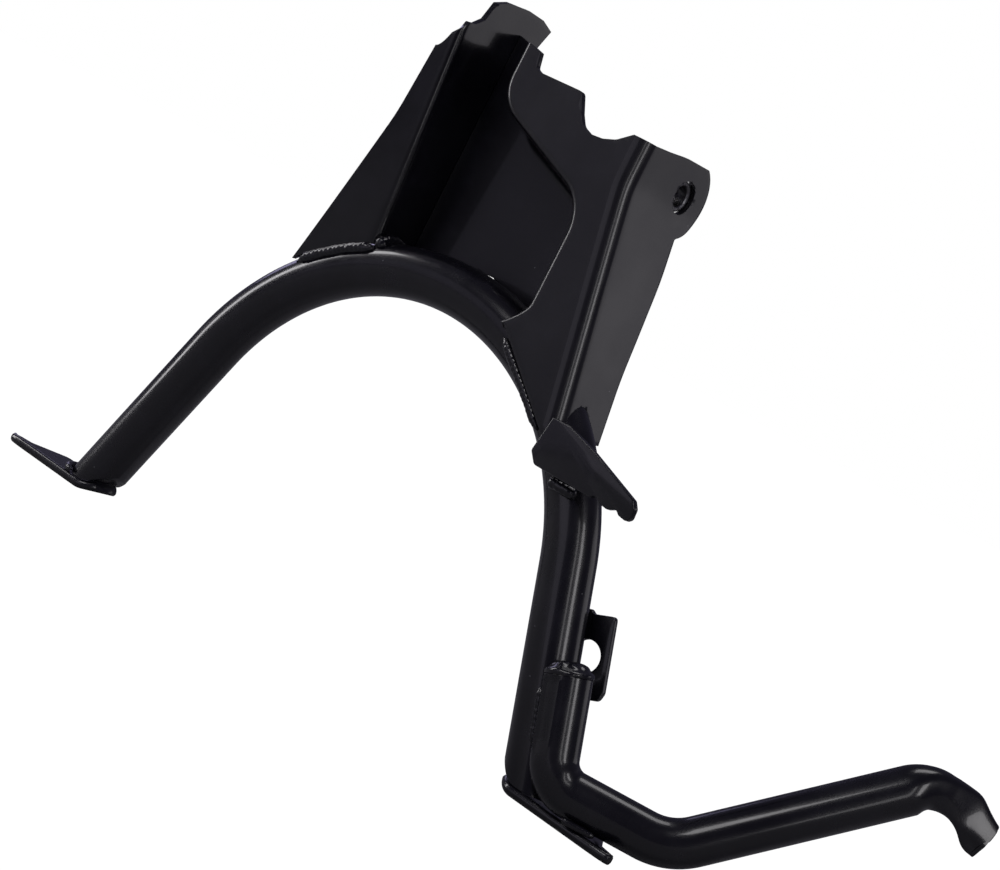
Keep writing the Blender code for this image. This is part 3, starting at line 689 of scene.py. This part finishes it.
def makePlateNotch():
    edge = pivot.z + saddle["plateRise"]
    left = saddle["stepTopX"]
    width = saddle["earX"] - saddle["fold"] - left
    steps = [(0.065, 0.016), (0.118, 0.0012), (0.16, 0), (0.51, -0.0002), (0.575, -0.0088)]
    steps += [(0.625, -0.0136), (0.70, -0.0156), (0.80, -0.0152), (0.89, -0.0132), (1, -0.0075), (1, 0.016)]
    corners = [(left + width * f, edge + z) for f, z in steps]
    outline = roundedOutline(corners, [0, 0.002, 0.003, 0.003, 0.003, 0.006, 0.006, 0.006, 0.006, 0, 0], 5)
    return solid("plateNotch", *prism(outline, saddle["plateY"] - 0.004, saddle["plateY"] + sheet + 0.0008))


def makeStepNotch():
    top = pivot.z + saddle["webRise"]
    right = saddle["stepTopX"] + 0.004
    outline = [(-0.037, top + 0.004), (-0.0355, top - 0.011), (right, top - 0.015), (right, top + 0.004)]
    return solid("stepNotch", *prism(outline, saddle["plateY"] + 0.0075, saddle["webY"] + sheet + 0.001))


def makeWebTrim():
    rim = bend + tubeR
    corners = [(-26, 0.0035), (-14, 0.0035), (-5.6, 0.0035), (-4.4, 0.0008), (0.0, 0.0008), (1.0, 0.0035)]
    corners += [(14, 0.0035), (26, 0.0035)]
    outline = []
    for degrees, dip in denser(corners, 1.5):
        t = math.radians(degrees)
        outline.append(((rim - dip) * math.sin(t), (rim - dip) * math.cos(t) - bend))
    outline += [(outline[-1][0], -0.06), (outline[0][0], -0.06)]
    return solid("webTrim", *prism(outline, saddle["plateY"] + sheet + 0.0001, 0.05))


def makeSaddle():
    made = sheetObject("saddlePlate", saddleColumns(), saddle["edge"])
    hole = drum("earHole", Vector((saddle["earX"], pivot.y, pivot.z)), saddle["hole"], -0.012, 0.012, "X")
    # The arch room comes last: before the trim it left a torn shell
    cutAway(made, makeWebTrim(), hole, makePlateNotch(), makeStepNotch(), archRoom, keep=archRoom)
    bevelled(made, saddle["cutEdge"], 2, 50, harden=False)
    finished(made, "saddle_plate", "painted_pressed_sheet", 32)


makeSaddle()
print("scene: saddle made")


# Left side plate: strip, fold, wall and left ear

sidePlate = {
    "fold": 0.0045,
    "lean": 0.119,
    "reach": 0.0107,  # strip's lower edge outside the tube's centreline
    "run": 0.0366,
    "edge": 0.0007,
}


def stripY(x, z):
    out = math.hypot(x, z + bend) - bend - sidePlate["reach"]
    base = math.sqrt((tubeR + gap) ** 2 - sidePlate["reach"] ** 2) + sheet
    return -base - 0.0002 - sidePlate["lean"] * (out + math.sqrt(out**2 + 0.001**2)) / 2


def sideColumns():
    fold = sidePlate["fold"]
    foldX = -saddle["wallX"] - fold
    rim = bend + sidePlate["reach"]
    marks = [k / 56 for k in range(57)]
    topZ = pivot.z + 0.0205
    lowZ = math.sqrt(rim**2 - foldX**2) - bend
    foldLine = [(foldX, topZ + (lowZ - topZ) * f) for f in marks]
    tip = foldX - sidePlate["run"]
    tipZ = math.sqrt(rim**2 - tip**2) - bend
    heel = topZ - 0.008
    lean = [(0, 0), (0.3, 0.0060), (1, 0.0301)]
    edge = [(foldX - 0.006 - eased(lean, f), heel + (tipZ - heel) * f) for f in marks]
    turns = [k / 12 for k in range(13)]
    top = [(edge[0][0] + (foldX - edge[0][0]) * f, heel + (topZ - heel) * f**1.8) for f in turns]
    low = []
    for f in turns:
        x = edge[-1][0] + (foldX - edge[-1][0]) * f
        low.append((x, math.sqrt(rim**2 - x**2) - bend))
    columns = []
    for column in coons(edge, foldLine, top, low):
        columns.append([Vector((x, stripY(x, z), z)) for x, z in column])

    arc = fold * math.pi / 2
    start = stripY(foldX, pivot.z)
    offset = arc - start - fold
    rear = [(-pivot.z - 0.0455, pivot.y + 0.0093), (-pivot.z - 0.030, pivot.y + 0.003)]
    rear += [(-0.055, 0.034), (-0.025, 0.0265), (0.002, 0.0255)]
    earTop = pivot.z + 0.0455
    heights = [earTop + (0.001 - earTop) * f for f in marks]
    back = [(offset + earEdge(z, rear), z) for z in heights]
    crownLine = [(-0.0115, 0.0290), (-0.0068, 0.0330), (-0.0035, 0.0425), (0.004, 0.0460)]
    crownLine += [(0.017, 0.0480), (0.030, 0.0480)]
    top = [(arc * k / 8, topZ + 0.0078 * k / 8) for k in range(9)]
    rough = [top[-1]] + [(offset + y, pivot.z + z) for y, z in crownLine] + [back[0]]
    top += denser(rough, 0.0018)[1:]
    low = spreadLine([(0, lowZ), (arc, 0.001), back[-1]], [x / back[0][0] for x, _ in top])
    for column in coons([(0, z) for _, z in foldLine], back, top, low)[1:]:
        bent = []
        for w, z in column:
            turn = min(w, arc) / fold
            far = max(0, w - arc)
            slant = (start - stripY(foldX, z)) * max(0, 1 - far / 0.03)
            y = start - slant + fold * (1 - math.cos(turn)) + far
            bent.append(Vector((foldX + fold * math.sin(turn), y, z)))
        columns.append(bent)
    return columns


def makeSidePlate():
    made = sheetObject("leftSidePlate", sideColumns(), sidePlate["edge"])
    middle = Vector((-saddle["wallX"], pivot.y, pivot.z))
    hole = drum("leftEarHole", middle, saddle["hole"], -0.012, 0.012, "X")
    cutAway(made, archRoom, hole, keep=archRoom)
    bevelled(made, saddle["cutEdge"], 2, 50, harden=False)
    finished(made, "left_side_plate", "painted_side_sheet", 32)


makeSidePlate()
print("scene: left side plate made")


# Pivot bushes: turned rings with chamfered ends

bush = {"outer": 0.0075, "bore": 0.0049, "chamfer": 0.0006}


def makeBush(node):
    low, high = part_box(node)
    low, high = low.x, high.x
    outer, bore, c = bush["outer"], bush["bore"], bush["chamfer"]
    section = [(outer, low + c), (outer - c, low), (bore + c, low), (bore, low + c)]
    section += [(bore, high - c), (bore + c, high), (outer - c, high), (outer, high - c)]
    y, z = Vector((0, 1, 0)), up
    rings = [ringAt(Vector((x, 0, 0)) - crown, y * r, z * r, 96) for r, x in section]
    made = solid(f"{node}Turned", *loft(rings, loop=True))
    bevelled(made, 0.0002, 2, 25)
    finished(made, node, "bush_steel", 50)


# Feet: thick pads with a raised front lip, the inner end curled up round the leg


def makeFoot(node, side):
    middle = legPoint(padTop).x
    half = foot["width"] / 2
    thick = stand["padThickness"]
    rings = []

    def section(x, z, lean, frontY, rearY, lip):
        # One cut across the pad: rounded front lip, a shallow valley behind it, plain rear edge
        wayUp = Vector((side * math.sin(lean), 0, math.cos(lean)))
        base = Vector((side * x, 0, z))
        width = rearY - frontY
        shape = [(0.0004, 0.0010), (0, 0.0022), (0.0003, thick - 0.0010), (0.0013, thick - 0.0001)]
        low = thick - lip
        shape += [(0.0024, thick), (0.0036, low), (width * 0.5, low), (width - 0.0010, low)]
        shape += [(width - 0.0002, low - 0.0006), (width, thick / 2), (width - 0.0003, 0.0009)]
        shape += [(width - 0.0014, 0), (width * 0.5, 0), (0.0016, 0)]
        return [base + wayUp * t + Vector((0, frontY + w, 0)) for w, t in shape]

    outer = foot["curl"] + thick
    for k in range(13):
        turn = foot["wrap"] * (1 - k / 12)
        wide = half * (1 - 0.45 * (1 - k / 12) ** 2)
        x, z = middle - outer * math.sin(turn), padTop + foot["curl"] - outer * math.cos(turn)
        rings.append(section(x, z, turn, -wide, wide, foot["lip"] * k / 12))
    frontLine = [(0, -1), (0.84, -1), (0.97, -0.97), (1, -0.88)]
    rearLine = [(0, 1), (0.35, 1), (0.62, 0.98), (0.66, 0.90), (0.84, -0.30), (0.97, -0.46), (1, -0.58)]
    for share in [k / 44 for k in range(1, 45)]:
        frontY = (eased if share < 0.97 else lineAt)(frontLine, share)
        rearY = lineAt(rearLine, share)
        x = middle + foot["length"] * share
        rings.append(section(x, -stand["soleDrop"], 0, half * max(-1, frontY), half * rearY, foot["lip"]))
    made = solid(f"{node}Pad", *loft(rings))
    bevelled(made, 0.0005, 2, 60)
    finished(made, node, "painted_foot_pad", 40)


makeBush("left_pivot_bush")
makeBush("right_pivot_bush")
makeFoot("left_foot", -1)
makeFoot("right_foot", 1)
print("scene: bushes and feet made")


# Foot lever: a bent tube, pressed flat and dished at its free end

lever = {
    "radius": 0.0105,
    "sides": 64,
    "side": math.radians(38),
    "lap": 0.0447,
    "flat": 0.0496,
    "swing": 0.0244,
    "rise": Vector((0.065, 0.052, 0.070)),
    "tip": Vector((0.0275, 0.0215, -0.0100)),
    "bends": (0.0152, 0.030, 0.013),
    "blade": 0.0045,
    "dish": 0.0011,
    "slope": 0.45,  # how far the pressed face leans back above its lip
    "facet": (math.radians(-8), math.radians(38), 0.0010),  # flat pressed beside the leg: from, to, depth
    "fold": 0.0009,  # swelling inside the first bend
    # distance from the tip, how flat, height and lift as shares of the radius
    "press": [
        (0, 1, 0.74, 0.03),
        (0.0074, 1, 0.87, 0.10),
        (0.0147, 1, 0.79, 0.46),
        (0.0220, 0.83, 0.69, 0.50),
        (0.0294, 0.67, 0.78, 0.32),
        (0.0319, 0.50, 0.88, 0.16),
        (0.0345, 0.33, 0.97, 0.05),
        (0.0370, 0.17, 1, 0),
        (0.0396, 0, 1, 0),
        (0.5, 0, 1, 0),
    ],
}


def leverPath():
    v = lever
    offset = tubeR + v["radius"] + gap
    away = legOut * math.cos(v["side"]) + front * math.sin(v["side"])
    floor = padTop + gap + v["radius"]
    corner = legPoint(floor - (away * offset).z) + away * offset
    flat = corner + Vector((v["flat"], v["swing"], 0))
    reach = flat + v["rise"]
    points = [corner - legDown * v["lap"], corner, flat, reach, reach + v["tip"]]
    rough = roundedPath(points, v["bends"], 18)
    path = [rough[0]]
    for a, b in zip(rough, rough[1:]):
        pieces = max(1, round((b - a).length / 0.0014))
        path += [a.lerp(b, k / pieces) for k in range(1, pieces + 1)]
    return path


def pressStep(distance):
    rows = lever["press"]
    for a, b in zip(rows, rows[1:]):
        if distance <= b[0]:
            t = (distance - a[0]) / (b[0] - a[0])
            t = t * t * (3 - 2 * t) * 0.5 + t * 0.5
            return [x + (y - x) * t for x, y in zip(a[1:], b[1:])]
    return rows[-1][1:]


def pressAt(distance):
    near = [pressStep(max(0, distance + 0.0011 * k)) for k in range(-3, 4)]
    return [sum(values) / 7 for values in zip(*near)]


def makeLever():
    path = leverPath()
    frames = crossFrames(path, front)
    left = [0.0]
    for a, b in zip(path[::-1], path[-2::-1]):
        left.append(left[-1] + (b - a).length)
    left = left[::-1]
    sides = lever["sides"]
    radius = lever["radius"]
    rings = []
    for p, (wide, tall), distance in zip(path, frames, left):
        flatness, height, lift = pressAt(distance)
        thin = radius + (lever["blade"] / 2 - radius) * flatness
        high = radius * height
        above = -1 if tall.z < 0 else 1
        middle = p + tall * radius * lift * above
        dish = lever["dish"] * flatness * hump(distance, 0.006, 0.0045)
        square = 1 - 0.55 * flatness
        start, stop, deep = lever["facet"]
        slopes = []
        down = left[0] - distance
        pressed = min(1, max(0, (lever["lap"] - 0.008 - down) / 0.010)) * min(1, down / 0.002)
        folded = hump(down, lever["lap"] - 0.003, 0.0055)
        ring = []
        for k in range(sides):
            t = 2 * math.pi * k / sides
            c, s = math.cos(t), math.sin(t)
            level = lift + height * s * above
            slopes.append(radius * flatness * lever["slope"] * (0.35 - max(level, -0.08)))
            hollow = dish * max(0, c) * hump(level, -0.32, 0.26) - slopes[-1]
            side = abs((t + math.pi) % (2 * math.pi) - math.pi - (start + stop) / 2) / ((stop - start) / 2)
            cut = pressed * deep * (max(0, 1 - side**6) - 0.35 * hump(side, 1.1, 0.10))
            cut -= folded * lever["fold"] * max(0, math.cos(t + 1.05)) ** 4
            spot = wide * (thin * math.copysign(abs(c) ** square, c) - hollow) + tall * high * s
            ring.append(middle + spot - (wide * c + tall * s) * cut)
        rings.append(ring)
    end = rings[-1]
    middle = sum(end, Vector()) / sides
    way = lever["tip"].normalized()
    end = [p - way * (0.0010 + max(0, slope) * 0.75) for p, slope in zip(end, slopes)]
    rings[-1] = [p - way * 0.0008 for p in end]
    for shrink, ahead in ((0.95, -0.0003), (0.84, 0), (0.6, 0)):
        rings.append([middle + (p - middle) * shrink + way * ahead for p in end])
    made = solid("leverTube", *loft(rings))
    finished(made, "lever_tube", "painted_lever_tube", 40)


makeLever()
print("scene: lever made")


# Spring hook tab and stop bracket

hook = {
    "inside": 0.0103,
    "turn": math.radians(48.9),
    "depth": 0.022,
    "length": 0.059,
    "plate": 0.004,
    "edge": 0.0006,
}


def hookCorner():
    reach = bend - hook["inside"]
    return reach * math.sin(hook["turn"]), reach * math.cos(hook["turn"]) - bend


def makeHook():
    y = saddle["plateY"] - gap
    x0, low = hookCorner()
    top = low + hook["depth"]
    tip = x0 + hook["length"]
    corners = [(x0, low + 0.005), (x0 + 0.0045, low)]
    bumps = [(0.62, 0), (0.665, 0.0018), (0.715, -0.0002), (0.79, -0.0008), (0.86, 0.0013)]
    bumps += [(0.90, -0.0005), (0.97, -0.0011), (1, 0.0007), (0.993, 0.0053), (0.953, 0.0083)]
    corners += [(x0 + hook["length"] * f, low + z) for f, z in bumps]
    corners += [(tip - 0.030, top - 0.0045), (x0 + 0.012, top), (x0 + 0.0026, top)]
    radii = [0.002, 0.003] + [0.002] * 10 + [0.012, 0.004, 0.001]
    made = solid("springHookTab", *prism(roundedOutline(corners, radii, 7), y - hook["plate"], y))
    bevelled(made, hook["edge"], 4, 50)
    finished(made, "spring_hook_tab", "painted_hook_plate", 40)


stop = {"plate": 0.003, "length": 0.037, "hole": 0.0146, "edge": 0.0114, "up": 0.0605}


def makeStop():
    v = stop
    axis = legPoint(-stand["soleDrop"] + v["up"])
    away = v["hole"] / 2 + 0.0015
    y = tubeR + gap + 0.0001
    edge = away + v["edge"]
    corners = [(-0.004, -0.45), (0.36 * edge, -0.56), (0.46 * edge, -0.5), (edge, -0.5)]
    corners += [(edge, 0.40), (0.9 * edge, 0.5), (-0.004, 0.5)]
    spots = [axis + legOut * out + legDown * v["length"] * down for out, down in corners]
    radii = [0.001, 0.002, 0.002, 0.002, 0.003, 0.003, 0.001]
    outline = roundedOutline([(p.x, p.z) for p in spots], radii)
    made = solid("stopBracket", *prism(outline, y, y + v["plate"]))
    cutAway(made, drum("stopHole", axis + legOut * away, v["hole"] / 2, 0, y + v["plate"] + 0.01))
    bevelled(made, 0.0005, 3, 50)
    finished(made, "stop_bracket", "painted_bracket", 40)


makeHook()
makeStop()
print("scene: hook and stop made")


# Weld beads: one Geometry Nodes tree lays a rippled bead along each path

weldLook = {"ripple": 0.0025, "depth": 0.06, "wobble": 0.34, "crescent": 1.9, "sides": 28}
beadRadius = {"plate": 0.0024, "web": 0.0016, "tab": 0.0027, "stop": 0.0019}
beadRadius.update({"lever": 0.0018, "foot": 0.0016, "pad": 0.0015})


def captured(tree, geometry, name, value):
    made = addNode(tree, "GeometryNodeCaptureAttribute", domain="POINT")
    made.capture_items.new("FLOAT", name)
    return feed(tree, made, {"Geometry": geometry, name: value})


def weldTree():
    tree, given = startTree("weldBead", ["Radius", "Ripple", "Depth", "Wobble", "Crescent", "Seed"])

    # Path, tapered at both ends
    curve = addNode(tree, "GeometryNodeMeshToCurve", {0: given.outputs["Geometry"]})
    smooth = addNode(tree, "GeometryNodeCurveSplineType", {0: curve.outputs[0]}, spline_type="CATMULL_ROM")
    stepped = {"Curve": smooth.outputs[0], "Length": 0.0003}
    even = addNode(tree, "GeometryNodeResampleCurve", stepped, mode="LENGTH")
    along = addNode(tree, "GeometryNodeSplineParameter")
    factor = along.outputs["Factor"]
    fromEnd = maths(tree, "MINIMUM", factor, maths(tree, "SUBTRACT", 1.0, factor))
    taper = maths(tree, "POWER", maths(tree, "MINIMUM", maths(tree, "MULTIPLY", fromEnd, 9.0), 1.0), 0.5)
    taper = maths(tree, "MAXIMUM", taper, 0.12)
    size = addNode(tree, "GeometryNodeSetCurveRadius", {"Curve": even.outputs[0], "Radius": taper})
    keepAlong = captured(tree, size.outputs[0], "Along", along.outputs["Length"])

    # Round section
    around = addNode(tree, "GeometryNodeSplineParameter").outputs["Factor"]
    keepAround = captured(tree, roundSection(tree, given), "Around", around)
    swept = sweptAlong(tree, keepAlong.outputs["Geometry"], keepAround.outputs["Geometry"])
    if "Scale" in swept.inputs:
        feed(tree, swept, {"Scale": taper})

    # Crescent ripples and a slow wobble, both along the normal
    turn = maths(tree, "MULTIPLY", keepAround.outputs["Around"], 2 * math.pi)
    bow = maths(tree, "MULTIPLY", maths(tree, "COSINE", turn), given.outputs["Crescent"])
    count = maths(tree, "DIVIDE", keepAlong.outputs["Along"], given.outputs["Ripple"])
    phase = maths(tree, "ADD", maths(tree, "MULTIPLY", count, 2 * math.pi), bow)
    wave = maths(tree, "ABSOLUTE", maths(tree, "SINE", maths(tree, "MULTIPLY", phase, 0.5)))
    ripple = maths(tree, "MULTIPLY", maths(tree, "SUBTRACT", wave, 0.7), given.outputs["Depth"])
    place = addNode(tree, "GeometryNodeInputPosition").outputs[0]
    cloud = {"Scale": 260, "Vector": place, "W": given.outputs["Seed"]}
    lumps = addNode(tree, "ShaderNodeTexNoise", cloud, noise_dimensions="4D")
    wobble = maths(tree, "MULTIPLY", maths(tree, "SUBTRACT", lumps.outputs[0], 0.5), given.outputs["Wobble"])
    push = maths(tree, "MULTIPLY", maths(tree, "ADD", ripple, wobble), given.outputs["Radius"])
    normal = addNode(tree, "GeometryNodeInputNormal").outputs[0]
    shift = addNode(tree, "ShaderNodeVectorMath", {0: normal, "Scale": push}, operation="SCALE")
    moved = {"Geometry": swept.outputs[0], "Offset": shift.outputs[0]}
    return endTree(tree, given, addNode(tree, "GeometryNodeSetPosition", moved).outputs[0])


beadTree = weldTree()


def layBead(node, path, radius, seed, **changes):
    made = pathObject(f"{node}Bead", path)
    values = {name.capitalize(): value for name, value in {**weldLook, **changes}.items()}
    withTree(made, beadTree, Radius=radius, Seed=float(seed), Finish=finishes["painted_weld"], **values)
    finished(made, node, "painted_weld", 60)


def onTube(x, r, lift):
    z = math.sqrt(max(r**2 - x**2, 0)) - bend
    return Vector((x, -math.sqrt((tubeR + lift) ** 2 - (r - bend) ** 2), z))


def frontOfTube(x, z, lift):
    r = math.hypot(x, z + bend)
    return Vector((x, -math.sqrt((tubeR + lift) ** 2 - (r - bend) ** 2), z))


def makeWelds():
    bead = beadRadius["plate"]
    step = bead + gap
    wallX = saddle["wallX"]
    inside = bend + sidePlate["reach"] - step
    strip = [onTube(-wallX + 0.002 - 0.038 * k / 12, inside, 0.0006) for k in range(13)]
    layBead("strip_weld", strip, bead * 1.15, 1)

    # Inner side of the left wall, over the top of the tube
    x = -wallX + gap + bead
    over = []
    for k in range(11):
        turn = math.radians(-50 + 90 * k / 10)
        reach = bend + (tubeR + 0.0006) * math.cos(turn)
        over.append(Vector((x, (tubeR + 0.0006) * math.sin(turn), math.sqrt(reach**2 - x**2) - bend)))
    layBead("corner_weld", over, bead * 1.5, 2)

    # Rear corner of the web and the left wall
    size = beadRadius["web"]
    rear = saddle["webY"] + sheet + gap + size
    layBead("web_side_weld", [Vector((x - 0.0008, rear, 0.030 + 0.0033 * k)) for k in range(11)], size, 3)

    # Lapped lower edge of the right plate
    first = Vector((saddle["lapX"], 0, saddle["lapTop"]))
    final = Vector((flangeX(saddle["lapLow"]) - saddle["fold"], 0, saddle["lapLow"]))
    below = (final - first).normalized().cross(front) * (step + 0.0002)
    lap = [first.lerp(final, 0.10 + 0.84 * k / 11) + below for k in range(12)]
    layBead("plate_lap_weld", [frontOfTube(p.x, p.z, 0.0008) for p in lap], bead, 4)

    # Under the spring hook
    x0, low = hookCorner()
    under = [frontOfTube(x0 + 0.0115 + 0.014 * k / 9, low - gap - 0.003, 0.0014) for k in range(10)]
    layBead("tab_weld", under, beadRadius["tab"], 5, wobble=0.3)

    # Inner edge of the stop bracket
    axis = legPoint(-stand["soleDrop"] + stop["up"])
    edge = axis + legOut * (-0.004 - gap - 0.002) + Vector((0, tubeR - 0.0002, 0))
    seam = [edge + legDown * stop["length"] * (k / 12 - 0.4) for k in range(10)]
    layBead("stop_weld", seam, beadRadius["stop"], 6)

    # Front valley between the lever and the leg
    path = leverPath()
    size = beadRadius["lever"]
    r = lever["radius"]
    away = legOut * math.cos(lever["side"]) + front * math.sin(lever["side"])
    across = front * math.cos(lever["side"]) - legOut * math.sin(lever["side"])
    d1, d2, span = tubeR + gap + size, r + gap + size, tubeR + r + gap
    share = (d1**2 - d2**2 + span**2) / (2 * span)
    spot = away * (share - span) + across * (math.sqrt(d1**2 - share**2) + 0.0002)
    valley = [path[0] + spot + legDown * (0.006 + 0.0024 * k) for k in range(11)]
    layBead("lever_side_weld", valley, size, 7)

    # Round the legs on the pads
    size = beadRadius["foot"]
    level = padTop + gap + size
    base = legPoint(padTop)
    wide, deep = tubeR / math.cos(splay) + gap + size + 0.0003, tubeR + gap + size + 0.0003
    beads = [("left_foot_weld", -1, -72, 72, 8), ("right_foot_weld", 1, 20, 76, 9)]
    for node, side, start, end, seed in beads:
        line = []
        for k in range(17):
            turn = math.radians(start + (end - start) * k / 16)
            line.append(Vector((side * (base.x + wide * math.cos(turn)), deep * math.sin(turn), level)))
        layBead(node, line, size, seed)

    # Front side of the lever on its pad
    size = beadRadius["pad"]
    reach = math.sqrt((r + gap + size) ** 2 - (r - size) ** 2) + 0.0003
    points = [p for p in path if abs(p.z - (padTop + gap + r)) < 0.0002]
    start = points[0]
    way = (points[-1] - points[0]).normalized()
    seam = []
    for k in range(8):
        spot = start + way * (0.002 + 0.0022 * k) + way.cross(up) * reach
        seam.append(Vector((spot.x, spot.y, padTop + gap + size)))
    layBead("lever_foot_weld", seam, size, 10)


cap = {
    "height": 0.0063,
    "sides": 48,
    "lump": 0.03,
    # place round the end and depth of each pressed fold
    "folds": [(-1.15, 0.20), (-0.35, 0.16), (0.55, 0.22), (2.4, 0.12)],
    "foldWidth": 0.16,
}


def makeTopWeld():
    # The lever's upper end: a lumpy cap with pressed folds over a collar round its foot
    path = leverPath()
    base = path[0] - legDown * gap
    wide, tall = crossFrames(path, front)[0]
    rings = []
    sides = cap["sides"]
    for k in range(19):
        turn = math.radians(86) * k / 18
        collar = 0.05 * (hump(k, 3, 2.2) - hump(k, 7, 2.0))
        rings.append((math.cos(turn) ** 0.8 * lever["radius"] * (1 + collar), cap["height"] * math.sin(turn)))
    shape = []
    for j, (size, height) in enumerate(rings):
        row = []
        for k in range(sides):
            t = 2 * math.pi * k / sides
            middle = math.sin(math.pi * j / 18)
            lump = cap["lump"] * math.sin(5 * t + 0.7) * middle + 0.012 * math.sin(9 * t + j * 0.6)
            for at, deep in cap["folds"]:
                near = (t - at + math.pi) % (2 * math.pi) - math.pi
                lump -= deep * hump(near, 0, cap["foldWidth"]) * hump(j, 11, 4.5)
            rise = height + 0.0004 * math.sin(3 * t + 1.1) * middle
            out = (wide * math.cos(t) + tall * math.sin(t)) * size * (1 + min(lump, 0.01))
            row.append(base - legDown * rise + out)
        shape.append(row)
    made = solid("leverTopCap", *loft(shape))
    cutAway(made, archRoom)
    finished(made, "lever_top_weld", "painted_weld", 60)


makeWelds()
makeTopWeld()  # the last cut with the arch room, which is dropped here
print("scene: welds made")


# Floor, light and camera

studio = {
    "background": (1, 1, 1),
    "room": (0.052, 0.049, 0.074),  # dim cool light of the room away from the backdrop
    "floorGlow": 1.12,
    "floor": (0.34, 0.34, 0.35),
    "shadow": 0.08,  # how much of the floor's own shading shows
    # name, place, aim, width, height, watts, colour
    "lamps": [
        ("frontSoftbox", (-0.15, -1.3, 1.05), (0, 0, -0.1), 0.8, 0.4, 4.5, (1, 0.98, 1)),
        ("topSoftbox", (-0.1, 0.35, 1.6), (0.05, 0, -0.1), 0.9, 0.6, 4.5, (1, 0.98, 1)),
        ("leftStrip", (-1.3, -0.5, 0.1), (0, 0, -0.1), 0.25, 1.4, 7, (1, 0.98, 1)),
        ("rightStrip", (1.60, -0.43, 0.42), (0.2, 0, -0.1), 0.30, 0.9, 3.4, (1, 0.98, 1)),
        ("foldStrip", (1.20, -0.85, 0.20), (0, 0, -0.1), 0.16, 0.9, 0.9, (1, 0.98, 1)),
        ("frontPanel", (-1.2, -1.8, 0.1), (0, 0, -0.1), 1.0, 1.1, 0.6, (0.88, 0.84, 1)),
        ("frontFill", (-0.25, -2.1, 0.1), (0, 0, -0.1), 1.3, 1.2, 2.2, (0.90, 0.86, 1)),
        ("rearRightPanel", (1.35, 1.75, 0.50), (0, 0, -0.05), 1.2, 0.8, 1.7, (1, 0.97, 1)),
        ("rearLeftPanel", (-1.9, 0.8, 0.6), (0, 0, -0.1), 1.0, 0.8, 3, (0.70, 0.66, 1)),
    ],
}


def makeWorld():
    world = bpy.data.worlds.new("studioWorld")
    bpy.context.scene.world = world
    world.use_nodes = True
    tree = world.node_tree
    shade = tree.nodes["Background"]
    seen = addNode(tree, "ShaderNodeLightPath").outputs["Is Camera Ray"]
    feed(tree, shade, {"Color": mixed(tree, studio["room"], studio["background"], seen)})


def makeFloor():
    size = 6
    z = soleLow - 0.0002
    corners = [(-size, -size, z), (size, -size, z), (size, size, z), (-size, size, z)]
    mesh = meshOf("floor", corners, [(0, 1, 2, 3)], False)
    made = objectOf("floor", mesh)
    finish, tree, shader = emptyMaterial("paleFloor")
    plain = {"Base Color": (*studio["floor"], 1), "Roughness": 0.9, "Specular IOR Level": 0.1}
    feed(tree, shader, plain)
    glow = addNode(tree, "ShaderNodeEmission", {"Strength": studio["floorGlow"]})
    seen = addNode(tree, "ShaderNodeLightPath").outputs["Is Camera Ray"]
    share = maths(tree, "MULTIPLY", seen, 1 - studio["shadow"])
    mix = addNode(tree, "ShaderNodeMixShader", {0: share, 1: shader.outputs[0], 2: glow.outputs[0]})
    feed(tree, tree.nodes["Material Output"], {"Surface": mix.outputs[0]})
    mesh.materials.append(finish)


def makeLamps():
    for name, place, aim, width, height, watts, colour in studio["lamps"]:
        data = bpy.data.lights.new(name, "AREA")
        data.shape = "RECTANGLE"
        data.size = width
        data.size_y = height
        data.energy = watts
        data.color = colour
        lamp = objectOf(name, data)
        lamp.location = place
        lamp.rotation_euler = (Vector(place) - Vector(aim)).to_track_quat("Z", "Y").to_euler()


view = {
    "azimuth": math.radians(33.62),
    "elevation": math.radians(5.04),
    "roll": math.radians(27.01),
    "distance": 0.97095,
    "side": 0.01816,
    "lift": -0.06603,
    "focal": 2.11943,  # focal length as a share of the picture's width
    "middle": Vector((0, -0.030, -0.083)),
}


def makeCamera():
    v = view
    a, e, r = v["azimuth"], v["elevation"], v["roll"]
    back = Vector((math.sin(a) * math.cos(e), -math.cos(a) * math.cos(e), math.sin(e)))
    right = Vector((math.cos(a), math.sin(a), 0))
    above = back.cross(right)
    turnedRight = right * math.cos(r) + above * math.sin(r)
    turnedUp = above * math.cos(r) - right * math.sin(r)
    data = bpy.data.cameras.new("photoCamera")
    data.sensor_width = 36
    data.lens = 36 * v["focal"]
    made = objectOf("photoCamera", data)
    turn = Matrix((turnedRight, turnedUp, back)).transposed().to_4x4()
    place = back * v["distance"] + turnedRight * v["side"] + turnedUp * v["lift"] + v["middle"]
    made.matrix_world = Matrix.Translation(place) @ turn
    bpy.context.scene.camera = made


makeWorld()
makeFloor()
makeLamps()
makeCamera()
bpy.context.scene.view_settings.view_transform = "Standard"
print("scene: studio made")
